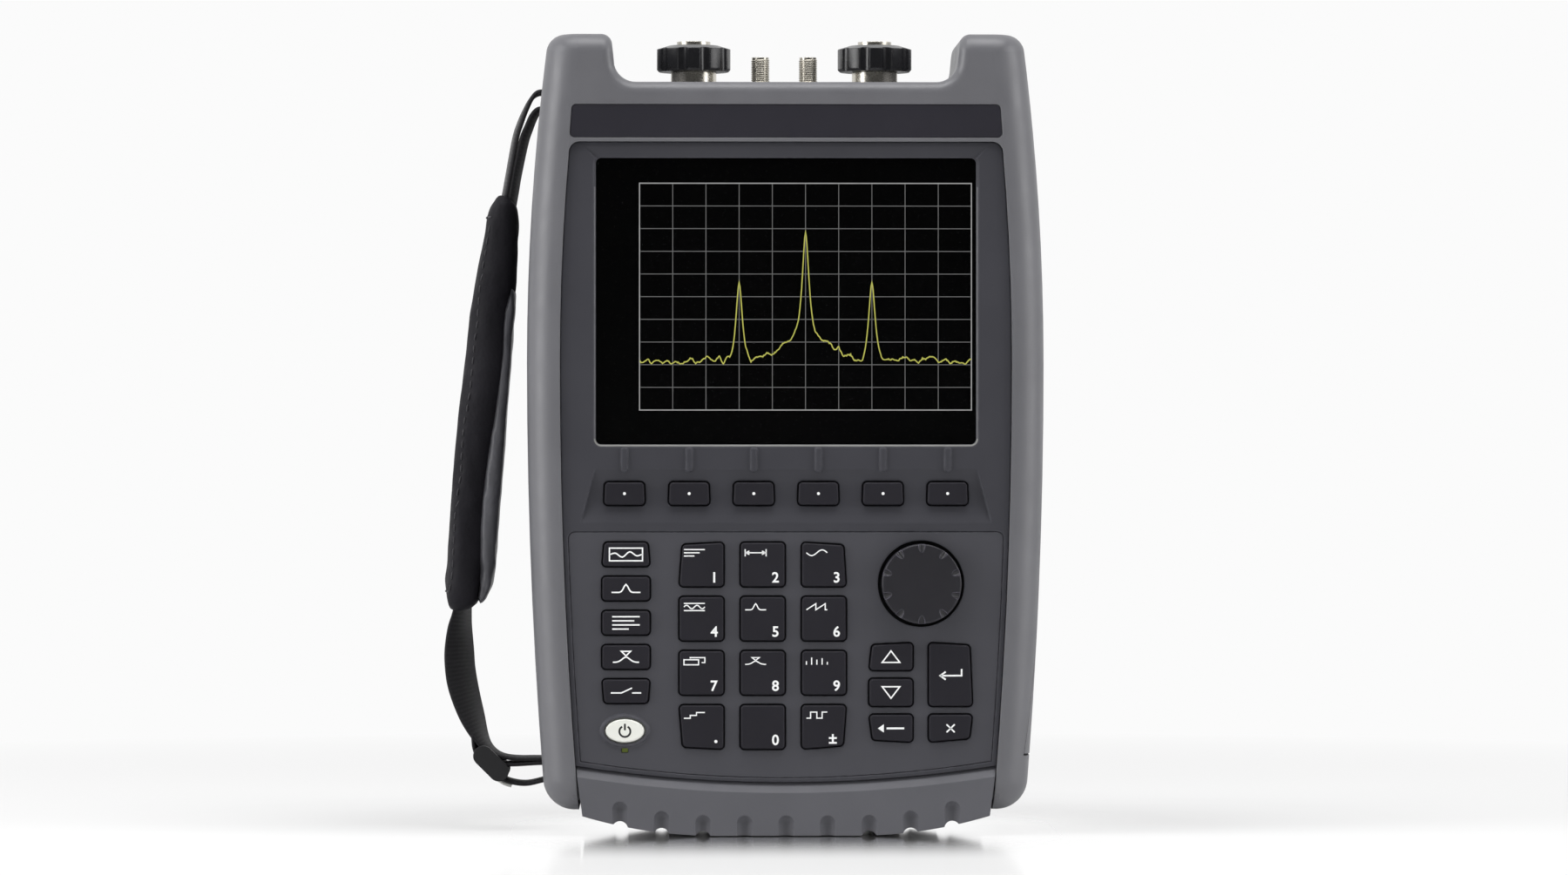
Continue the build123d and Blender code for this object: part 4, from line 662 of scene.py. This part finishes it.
# Screen: the trace is written in shares of the grid's width and height
# Peaks: place, height, half width of the foot
PEAK_SHARES = ((0.3, 0.347, 0.042), (0.5, 0.43, 0.05), (0.7, 0.347, 0.042))
PEAK_WIDTH_SHARE = 0.0125
NEEDLE_SHARE, FOOT_SHARE = 0.82, 0.18
NEEDLE_POWER, FOOT_POWER, HILL_POWER = 1.7, 1.5, 1.35
FLOOR_SHARE = 0.22
HILL_SHARE, HILL_HALF_SHARE = 0.14, 0.17
NOISE_STEP_SHARE, NOISE_SHARE = 0.012, 0.017
CALM_SHARE = 0.03
JITTER_SHARE = 0.2
TRACE_STEPS = 420
TRACE_SEED = 7


def trace_height(t, rough):
    """Height of the spectrum trace at a share across the grid, as a share of the grid's height."""
    level = FLOOR_SHARE + HILL_SHARE * max(0.0, 1 - abs(t - 0.5) / HILL_HALF_SHARE) ** HILL_POWER
    for place, rise, foot in PEAK_SHARES:
        away = abs(t - place)
        level += rise * NEEDLE_SHARE * math.exp(-(away / PEAK_WIDTH_SHARE) ** NEEDLE_POWER)
        level += rise * FOOT_SHARE * max(0.0, 1 - away / foot) ** FOOT_POWER
    near = min(abs(t - place) for place, _, _ in PEAK_SHARES)
    return level + rough * NOISE_SHARE * min(1.0, near / CALM_SHARE)


def draw_screen():
    """Graticule and trace on the lit display."""
    width, height = GRID_RIGHT - GRID_LEFT, GRID_HIGH - GRID_LOW
    grid = Drawing(SCREEN_FRONT - GRID_LIFT)
    for i in range(1, GRID_CELLS):
        x = GRID_LEFT + width * i / GRID_CELLS
        z = GRID_LOW + height * i / GRID_CELLS
        grid.line([(x, GRID_LOW), (x, GRID_HIGH)], GRID_LINE)
        grid.line([(GRID_LEFT, z), (GRID_RIGHT, z)], GRID_LINE)
    grid.make("screen_grid", GRID_DIM, "case")
    border = Drawing(SCREEN_FRONT - FRAME_LIFT)
    border.line(box_line(GRID_LEFT, GRID_RIGHT, GRID_LOW, GRID_HIGH)[:-1], FRAME_LINE, closed=True)
    border.make("screen_border", GRID_BRIGHT, "case")
    rng = random.Random(TRACE_SEED)
    knots = [rng.uniform(-1, 1) for _ in range(int(1 / NOISE_STEP_SHARE) + 3)]
    trace = Drawing(SCREEN_FRONT - TRACE_LIFT)
    points = []
    for i in range(TRACE_STEPS + 1):
        t = i / TRACE_STEPS
        knot, rest = divmod(t / NOISE_STEP_SHARE, 1)
        slow = knots[int(knot)] * (1 - rest) + knots[int(knot) + 1] * rest
        rough = slow + rng.uniform(-JITTER_SHARE, JITTER_SHARE)
        points.append((GRID_LEFT + width * t, GRID_LOW + height * trace_height(t, rough)))
    trace.line(points, TRACE_LINE)
    trace.make("screen_trace", TRACE_YELLOW, "case")


# Connectors
def turned(name, x, profile, finish, steps=40):
    """Round piece on the case about an upright axis from (radius, height) pairs, closed at both ends."""
    verts = []
    for radius, z in profile:
        for i in range(steps):
            a = 2 * math.pi * i / steps
            verts.append((x + radius * math.cos(a), radius * math.sin(a), z))
    make_piece(name, verts, tube_faces(len(profile), steps), finish, "case")


def jack_thread(name, x, steps=40):
    """Ridge of a screw thread round the barrel of a jack."""
    count = int((THREAD_HIGH - THREAD_LOW - THREAD_PITCH) / THREAD_PITCH * steps)
    first_foot, last_foot = THREAD_FOOT_SHARES
    verts = []
    for i in range(count + 1):
        a = 2 * math.pi * i / steps
        z = THREAD_LOW + THREAD_PITCH * i / steps
        fade = min(1.0, i / THREAD_FADE_STEPS, (count - i) / THREAD_FADE_STEPS)
        section = ((-THREAD_SINK, first_foot), (THREAD_RISE * fade, 0.5), (-THREAD_SINK, last_foot))
        for reach, lift in section:
            r = JACK_RADIUS + reach
            verts.append((x + r * math.cos(a), r * math.sin(a), z + lift * THREAD_PITCH))
    faces = tube_faces(count + 1, len(section), inward=True)
    make_piece(name, verts, faces, FINISHES["connector_nickel"], "case")


def raised(profile, floor):
    """Profile of (radius, height) pairs set on the floor of a bore."""
    return [(radius, floor + height) for radius, height in profile]


def dress_connectors():
    """Threads, insulators and centre contacts of the ports and jacks."""
    insulator = [(JACK_BORE - INSULATOR_GAP, height) for height in (-INSULATOR_SINK, INSULATOR_RISE)]
    for side, sign in (("left", -1), ("right", 1)):
        jack_x, port_x = sign * JACK_X, sign * PORT_X
        jack_thread(f"{side}_jack_thread", jack_x)
        turned(f"{side}_jack_insulator", jack_x, raised(insulator, JACK_BORE_FLOOR), INSULATOR)
        turned(f"{side}_jack_contact", jack_x, raised(JACK_CONTACT, JACK_BORE_FLOOR), CONTACT_GOLD)
        turned(f"{side}_port_contact", port_x, raised(PORT_CONTACT, PORT_BORE_FLOOR), CONTACT_GOLD)


# Hand strap
def smooth_path(points, steps=10):
    """Points along a smooth curve through control points."""
    control = [Vector(p) for p in points]
    path = []
    for i in range(len(control) - 1):
        p1, p2 = control[i], control[i + 1]
        p0 = control[i - 1] if i else p1 * 2 - p2
        p3 = control[i + 2] if i + 2 < len(control) else p2 * 2 - p1
        for j in range(steps):
            t = j / steps
            path.append(0.5 * (2 * p1 + (p2 - p0) * t + (2 * p0 - 5 * p1 + 4 * p2 - p3) * t * t
                               + (3 * p1 - p0 - 3 * p2 + p3) * t ** 3))
    return path + [control[-1]]


def direction(path, i):
    """Unit vector along a path of (x, z, ...) rows at one of its rows."""
    before, after = path[max(i - 1, 0)], path[min(i + 1, len(path) - 1)]
    return Vector((after.x - before.x, 0, after.y - before.y)).normalized()


def ribbon(name, points, twists, thick, steps=10):
    """Flat webbing along points (x, z) that turns about its own line by twists in degrees."""
    rows = [(x, z, twist) for (x, z), twist in zip(points, twists)]
    path = smooth_path(rows, steps)
    half, edge = WEB_WIDTH / 2, thick / 2
    crown = edge * WEB_CROWN_SHARE
    section = [(half - edge, -edge), (half, 0), (half - edge, edge), (0, crown), (-half + edge, edge),
               (-half, 0), (-half + edge, -edge), (0, -crown)]
    count = len(section)
    across = Vector((0, 1, 0))
    verts, lengths = [], [0.0]
    for i, row in enumerate(path):
        normal = direction(path, i).cross(across)
        angle = math.radians(row.z)
        wide = across * math.cos(angle) + normal * math.sin(angle)
        flat = normal * math.cos(angle) - across * math.sin(angle)
        here = Vector((row.x, STRAP_Y, row.y))
        if i:
            last = path[i - 1]
            lengths.append(lengths[-1] + math.hypot(row.x - last.x, row.y - last.y))
        verts += [tuple(here + wide * u + flat * v) for u, v in section]
    faces = tube_faces(len(path), count)
    piece = make_piece(name, verts, faces, FINISHES["strap_fabric"], "case", smooth=True)
    layer = piece.data.uv_layers.new(name="weave")
    for loop in piece.data.loops:
        row, place = divmod(loop.vertex_index, count)
        layer.data[loop.index].uv = (section[place][0] * MM, lengths[row] * MM)
    return piece


# Grip before it swells: (centre across, centre height, thickness, share of the width), from its top end down
GRIP_STATIONS = (
    (-101.2, 233.6, 6.6, 0.80), (-102.4, 231.6, 9.0, 0.88), (-103.4, 228.6, 10.4, 0.92),
    (-104.0, 223.4, 10.9, 0.95), (-105.7, 209.2, 11.6, 1.0), (-108.3, 190.4, 11.6, 1.0),
    (-109.8, 171.5, 12.4, 1.0), (-112.4, 152.6, 12.0, 1.0), (-114.3, 137.5, 11.0, 1.0),
    (-116.5, 114.0, 10.2, 1.0), (-117.5, 92.7, 11.2, 1.0), (-118.3, 86.0, 12.2, 0.97),
    (-118.2, 83.0, 11.6, 0.92), (-117.9, 80.9, 8.6, 0.84),
)
LINING_STATIONS = (
    (-100.3, 200.0, 2.2, 0.9), (-101.4, 190.4, 2.8, 1.0), (-103.0, 171.5, 3.0, 1.0),
    (-104.8, 152.6, 3.7, 1.0), (-106.5, 137.5, 5.0, 1.0), (-108.8, 114.0, 5.7, 1.0),
    (-110.0, 92.7, 4.6, 1.0), (-111.3, 86.4, 3.5, 0.95), (-112.6, 83.4, 2.6, 0.9),
)
GRIP_RINGS = 9
GRIP_POINTS = 40
GRIP_SWELL = 1.5
GRIP_VOXEL = 3.0
GRIP_SQUARENESS, LINING_SQUARENESS = 0.5, 0.4
SWELL_CAP = 2.0
SWELL_FRAMES = 20
SWELL_PRESSURE = 4.0
SWELL_QUALITY = 4
CREASE_REACH = 26.0
CREASE_DEPTH = 0.75
CREASE_SIZE = 6.0
CREASE_SHARES = (0.5, 0.35)
CREASE_SLANT_SHARE = 0.5
CREASE_MIDDLE_SHARE = 0.25
LINING_WIDTH = 28.0
LINING_VOXEL = 1.6
LINING_CAP = 0.5
STITCH_LENGTH = 3.0
STITCH_PITCH = 4.4
STITCH_RADIUS, STITCH_LIFT = 0.32, 0.1
STITCH_SIDES = 6
STITCH_END_SHARES = (0.2, 0.8)
STITCH_INSET = 13.2
STITCH_LOW, STITCH_HIGH = 88.0, 226.0
STITCH_LOOK_FROM = -200.0


def sleeve(stations, width, squareness):
    """Rounded oblong tube through stations of (centre across, height, thickness, share of the width)."""
    path = smooth_path(stations, GRIP_RINGS)
    verts = []
    for i, row in enumerate(path):
        normal = Vector((0, 1, 0)).cross(direction(path, i))
        for j in range(GRIP_POINTS):
            angle = 2 * math.pi * j / GRIP_POINTS
            u, v = (math.copysign(abs(c) ** squareness, c) for c in (math.cos(angle), math.sin(angle)))
            across = Vector((row.x, STRAP_Y + u * width / 2 * row.w, row.y))
            verts.append(across + normal * (v * row.z / 2))
    return verts, tube_faces(len(path), GRIP_POINTS, inward=True)


def swollen(verts, faces, voxel, cap):
    """Remesh a closed form, swell it as stuffed cloth and return its points and faces."""
    scene = bpy.context.scene
    mesh = bpy.data.meshes.new("stuffing")
    mesh.from_pydata([v * MM for v in verts], [], faces)
    holder = bpy.data.objects.new("stuffing", mesh)
    scene.collection.objects.link(holder)
    remesh = holder.modifiers.new("even", "REMESH")
    remesh.mode = "VOXEL"
    remesh.voxel_size = voxel * MM
    graph = bpy.context.evaluated_depsgraph_get()
    even = bpy.data.meshes.new_from_object(holder.evaluated_get(graph))
    holder.modifiers.clear()
    holder.data = even
    start = [v.co.copy() for v in even.vertices]
    ends = [v.copy() for v in start]
    cloth = holder.modifiers.new("swell", "CLOTH")
    cloth.settings.use_pressure = True
    cloth.settings.uniform_pressure_force = SWELL_PRESSURE
    cloth.settings.effector_weights.gravity = 0.0
    cloth.settings.quality = SWELL_QUALITY
    for number in range(1, SWELL_FRAMES + 1):
        scene.frame_set(number)
    graph = bpy.context.evaluated_depsgraph_get()
    result = holder.evaluated_get(graph).to_mesh()
    ends = [v.co.copy() for v in result.vertices]
    holder.modifiers.clear()
    scene.frame_set(1)
    points = []
    for first, last in zip(start, ends):
        move = last - first
        if move.length > cap * MM:
            move *= cap * MM / move.length
        points.append((first + move) / MM)
    polygons = [tuple(polygon.vertices) for polygon in even.polygons]
    bpy.data.objects.remove(holder)
    return points, polygons


def creased(points, faces):
    """Press folds into a stuffed form, deepest near its two ends."""
    low, high = min(p.z for p in points), max(p.z for p in points)
    mesh = bpy.data.meshes.new("creases")
    mesh.from_pydata(points, [], faces)
    folded = []
    for vertex in mesh.vertices:
        here = vertex.co
        near = max(0.0, 1 - min(here.z - low, high - here.z) / CREASE_REACH)
        along = here.z + here.x * CREASE_SLANT_SHARE
        slanted = Vector((here.x * CREASE_SHARES[0], here.y * CREASE_SHARES[1], along)) / CREASE_SIZE
        fold = noise.noise(slanted) * (CREASE_MIDDLE_SHARE + near) * CREASE_DEPTH
        folded.append(here + vertex.normal * fold)
    bpy.data.meshes.remove(mesh)
    return folded


def padded_piece(name, form, voxel, cap, finish):
    """A stuffed and creased piece on the strap from the points and faces of its slack form."""
    points, polygons = swollen(*form, voxel, cap)
    points = creased(points, polygons)
    piece = make_piece(name, points, polygons, finish, "case", smooth=True)
    piece.modifiers.new("smooth", "SUBSURF").levels = 1
    piece.modifiers["smooth"].render_levels = 1
    return piece


def sew(name, piece, runs):
    """Stitches along runs of (y, z) points on the side of a piece that looks away from the case."""
    mesh = piece.data
    surface = BVHTree.FromPolygons([v.co / MM for v in mesh.vertices],
                                   [tuple(p.vertices) for p in mesh.polygons])
    inward, up = Vector((1, 0, 0)), Vector((-1, 0, 0))
    verts, faces = [], []
    for start, end in runs:
        whole = Vector(end) - Vector(start)
        count = int(whole.length / STITCH_PITCH)
        for i in range(count):
            ends = []
            for place in (i * STITCH_PITCH, i * STITCH_PITCH + STITCH_LENGTH):
                y, z = Vector(start) + whole.normalized() * place
                ends.append(surface.ray_cast(Vector((STITCH_LOOK_FROM, y, z)), inward)[0])
            if None in ends:
                continue
            along = ends[1] - ends[0]
            side = along.cross(inward).normalized()
            base = len(verts)
            verts.append(ends[0])
            for share in STITCH_END_SHARES:
                for j in range(STITCH_SIDES):
                    angle = 2 * math.pi * j / STITCH_SIDES
                    reach = side * math.cos(angle) + up * math.sin(angle)
                    verts.append(ends[0] + along * share + reach * STITCH_RADIUS + up * STITCH_LIFT)
            verts.append(ends[1])
            first, second, last = base + 1, base + 1 + STITCH_SIDES, base + 1 + 2 * STITCH_SIDES
            for j in range(STITCH_SIDES):
                k = (j + 1) % STITCH_SIDES
                faces += [(base, first + k, first + j), (first + j, first + k, second + k, second + j),
                          (second + j, second + k, last)]
    make_piece(name, verts, faces, THREAD_DARK, "case", smooth=True)


def make_grip():
    """Padded sleeve round the webbing and the smooth lining along its inner side."""
    form = sleeve(GRIP_STATIONS, GRIP_WIDTH - 2 * GRIP_SWELL, GRIP_SQUARENESS)
    grip = padded_piece("padded_grip", form, GRIP_VOXEL, SWELL_CAP, FINISHES["grip_leather"])
    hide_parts("strap_grip")
    front, back = STRAP_Y - STITCH_INSET, STRAP_Y + STITCH_INSET
    front_low, front_high = (front, STITCH_LOW), (front, STITCH_HIGH)
    back_low, back_high = (back, STITCH_LOW), (back, STITCH_HIGH)
    runs = [(front_low, front_high), (back_low, back_high), (front_low, back_low), (front_high, back_high)]
    sew("grip_stitches", grip, runs)
    form = sleeve(LINING_STATIONS, LINING_WIDTH, LINING_SQUARENESS)
    lining = padded_piece("grip_lining", form, LINING_VOXEL, LINING_CAP, GRIP_LINING)


def make_strap():
    """Webbing at both ends of the grip, its loops round the bars of the case and the buckle, and its tip.

    A route is a list of places (across, height), with the webbing's turn about its own line in degrees.
    """
    top = [(-105.2, 224), (-102.9, 235.6), (-101.7, 242.2), (-99.3, 255.4), (-97.6, 261.0), (-95.6, 266.0),
           (-93.4, 270.2), (-91.2, 272.2), (-88.6, 272.4), (-84.2, 271.4), (-81.8, 270.3), (-81.0, 268.4),
           (-81.8, 266.5), (-84.2, 265.4), (-88.0, 265.9), (-90.6, 265.9), (-92.6, 263.6), (-94.4, 259.4),
           (-96.2, 254.4), (-98.8, 242.2), (-99.9, 235.6), (-102.0, 224)]
    turns = [5, 5, 5, 5, 5, 4, 3, 1, 0, 0, 0, 0, 0, 0, 0, 1, 3, 4, 5, 5, 5, 5]
    piece = ribbon("strap_top", top, turns, WEB_TOP_THICK, steps=8)
    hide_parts("strap_webbing")
    low = [(-118.6, 84.0), (-119.2, 79.0), (-119.9, 73.8), (-120.1, 66.2), (-119.8, 59.7), (-118.9, 53.8),
           (-117.2, 47.3), (-115.0, 40.8), (-112.4, 34.6), (-109.7, 30.6), (-106.6, 28.0), (-103, 26.7),
           (-98, 26.1), (-92, 26.1), (-88, 26.0), (-84, 25.9)]
    turns = [14, 18, 24, 30, 31, 31, 28, 23, 14, 6, 2, 0, 0, 0, 0, 0]
    ribbon("strap_low", low, turns, WEB_LOW_THICK)
    loop = [(-105.0, 24.05), (-99, 24.1), (-92, 24.5), (-86, 24.75), (-83.3, 24.75), (-80.55, 22),
            (-83.3, 19.25), (-88, 18.4), (-95, 16.9), (-101, 17.6), (-105.0, 19.55), (-107.45, 21.8),
            (-105.0, 24.05)]
    ribbon("strap_loop", loop, [0] * len(loop), WEB_LOW_THICK)
    tail = [(-112.8, 34.6), (-113.7, 30.5), (-113.3, 27.2), (-111.6, 25.2), (-109.8, 25.4), (-109.0, 26.6)]
    ribbon("strap_tail", tail, [14, 5, 0, 0, 0, 0], WEB_TAIL_THICK)
    tip = [(-105.8, 18.7), (-103.4, 17.2), (-100.6, 16.3)]
    piece = ribbon("strap_tip", tip, [0, 0, 0], WEB_TAIL_THICK)
    piece.data.materials[0] = TIP_GREY
    make_grip()


# Stage
def soft_light(name, place, size, power):
    """Soft box aimed at the instrument."""
    light = bpy.data.lights.new(name, "AREA")
    light.shape = "RECTANGLE"
    light.size, light.size_y = (side * MM for side in size)
    light.energy = power
    holder = bpy.data.objects.new(name, light)
    holder.location = Vector(place) * MM
    holder.rotation_euler = (Vector(BOX_TARGET) - Vector(place)).to_track_quat("-Z", "Y").to_euler()
    bpy.context.scene.collection.objects.link(holder)


def set_camera():
    """Long lens in front of the display, slightly to the left."""
    camera = bpy.data.cameras.new("camera")
    camera.sensor_fit = "HORIZONTAL"
    camera.sensor_width = SENSOR
    camera.lens = SENSOR * CAMERA_DISTANCE / FRAME_WIDTH
    camera.clip_end = VIEW_LIMIT * MM
    camera.dof.use_dof = False
    turn = math.radians(CAMERA_TURN)
    target = Vector(CAMERA_TARGET) * MM
    holder = bpy.data.objects.new("camera", camera)
    away = Vector((math.sin(turn), -math.cos(turn), 0)) * CAMERA_DISTANCE * MM
    holder.location = target + away
    holder.rotation_euler = (-away).to_track_quat("-Z", "Y").to_euler()
    bpy.context.scene.collection.objects.link(holder)
    bpy.context.scene.camera = holder


def set_world():
    """White backdrop for what looks at it, and a soft grey light for everything else."""
    world = bpy.data.worlds.new("studio")
    bpy.context.scene.world = world
    world.use_nodes = True
    tree = world.node_tree
    tree.nodes.clear()

    def add(kind):
        return tree.nodes.new("ShaderNode" + kind)

    def background(color, strength=1.0):
        node = add("Background")
        node.inputs["Color"].default_value = color
        node.inputs["Strength"].default_value = strength
        return node

    def mix(share, first, second):
        node = add("MixShader")
        for socket, source in enumerate((share, first, second)):
            tree.links.new(source, node.inputs[socket])
        return node.outputs[0]

    white = (1, 1, 1, 1)
    paths = add("LightPath")
    seen = add("Math")
    seen.operation = "MAXIMUM"
    tree.links.new(paths.outputs["Is Camera Ray"], seen.inputs[0])
    tree.links.new(paths.outputs["Is Transmission Ray"], seen.inputs[1])
    axes = add("SeparateXYZ")
    tree.links.new(add("TexCoord").outputs["Generated"], axes.inputs[0])
    depth = add("MapRange")
    ends = zip(("From Min", "From Max", "To Min", "To Max"), MIRROR_DEPTHS + MIRROR_STRENGTHS)
    for socket, value in ends:
        depth.inputs[socket].default_value = value
    tree.links.new(axes.outputs["Y"], depth.inputs["Value"])
    around = background(white)
    tree.links.new(depth.outputs["Result"], around.inputs["Strength"])
    ambient = background(white, AMBIENT_STRENGTH)
    lighting = mix(paths.outputs["Is Glossy Ray"], ambient.outputs[0], around.outputs[0])
    whole = mix(seen.outputs[0], lighting, background(rgb(BACKDROP)).outputs[0])
    tree.links.new(whole, add("OutputWorld").inputs["Surface"])


def floor_gloss(shader):
    """Share of the floor that mirrors: only at a grazing look, and most of it next to the base."""
    half_contact = tuple(size * MM for size in FLOOR_CONTACT_HALF)
    outside = shader.add("VectorMath", {0: shader.place}, operation="ABSOLUTE").outputs[0]
    outside = shader.add("VectorMath", {0: outside, 1: half_contact}, operation="SUBTRACT").outputs[0]
    outside = shader.add("VectorMath", {0: outside, 1: (0, 0, 0)}, operation="MAXIMUM").outputs[0]
    away = shader.add("VectorMath", {0: outside}, operation="LENGTH").outputs["Value"]
    ends = {"From Min": FLOOR_GLOSS_FADE[0] * MM, "From Max": FLOOR_GLOSS_FADE[1] * MM,
            "To Min": FLOOR_GLOSS_NEAR, "To Max": FLOOR_GLOSS_FAR}
    near = shader.add("MapRange", {"Value": away, **ends}, interpolation_type="SMOOTHSTEP").outputs["Result"]
    facing = shader.add("LayerWeight", {"Blend": 0.5}).outputs["Facing"]
    grazing = shader.add("Math", {0: facing, 1: FLOOR_GRAZING_POWER}, operation="POWER").outputs[0]
    gain = shader.add("Math", {0: grazing, 1: FLOOR_GRAZING_GAIN}, operation="MULTIPLY", use_clamp=True)
    return shader.times(near, gain.outputs[0])


def make_floor():
    """Pale floor that fades into the white backdrop away from the instrument."""
    half, z = FLOOR_HALF * MM, -FLOOR_DROP * MM
    mesh = bpy.data.meshes.new("floor")
    corners = [(-half, -half, z), (half, -half, z), (half, half, z), (-half, half, z)]
    mesh.from_pydata(corners, [], [(0, 1, 2, 3)])
    floor = bpy.data.objects.new("floor", mesh)
    bpy.context.scene.collection.objects.link(floor)
    shader = Shader("floor", FLOOR_COLOR, 0.4, specular=0.0)
    mesh.materials.append(shader.material)
    distance = shader.add("VectorMath", {0: shader.place}, operation="LENGTH").outputs["Value"]
    fade = shader.between(distance, 0.0, 1.0, *(place * MM for place in FLOOR_FADE))
    paths = shader.add("LightPath", {}).outputs["Is Camera Ray"]
    lit = shader.add("Emission", {"Color": rgb(BACKDROP), "Strength": 1.0}).outputs[0]
    mirror = {"Color": (1, 1, 1, 1), "Roughness": FLOOR_GLOSS_ROUGHNESS}
    gloss = shader.add("BsdfAnisotropic", mirror).outputs[0]
    share = floor_gloss(shader)
    floor_mix = shader.add("MixShader", {0: share, 1: shader.bsdf.outputs[0], 2: gloss}).outputs[0]
    mix = shader.add("MixShader", {0: shader.times(fade, paths), 1: floor_mix, 2: lit})
    shader.tree.links.new(mix.outputs[0], shader.tree.nodes["Material Output"].inputs["Surface"])


def set_stage():
    """Camera, soft boxes, backdrop and floor."""
    scene = bpy.context.scene
    scene.view_settings.view_transform = "Standard"
    set_camera()
    set_world()
    make_floor()
    for box in SOFT_BOXES:
        soft_light(*box)


finish_cad_nodes()
print_legends()
paint_window_highlights()
draw_screen()
dress_connectors()
make_strap()
set_stage()
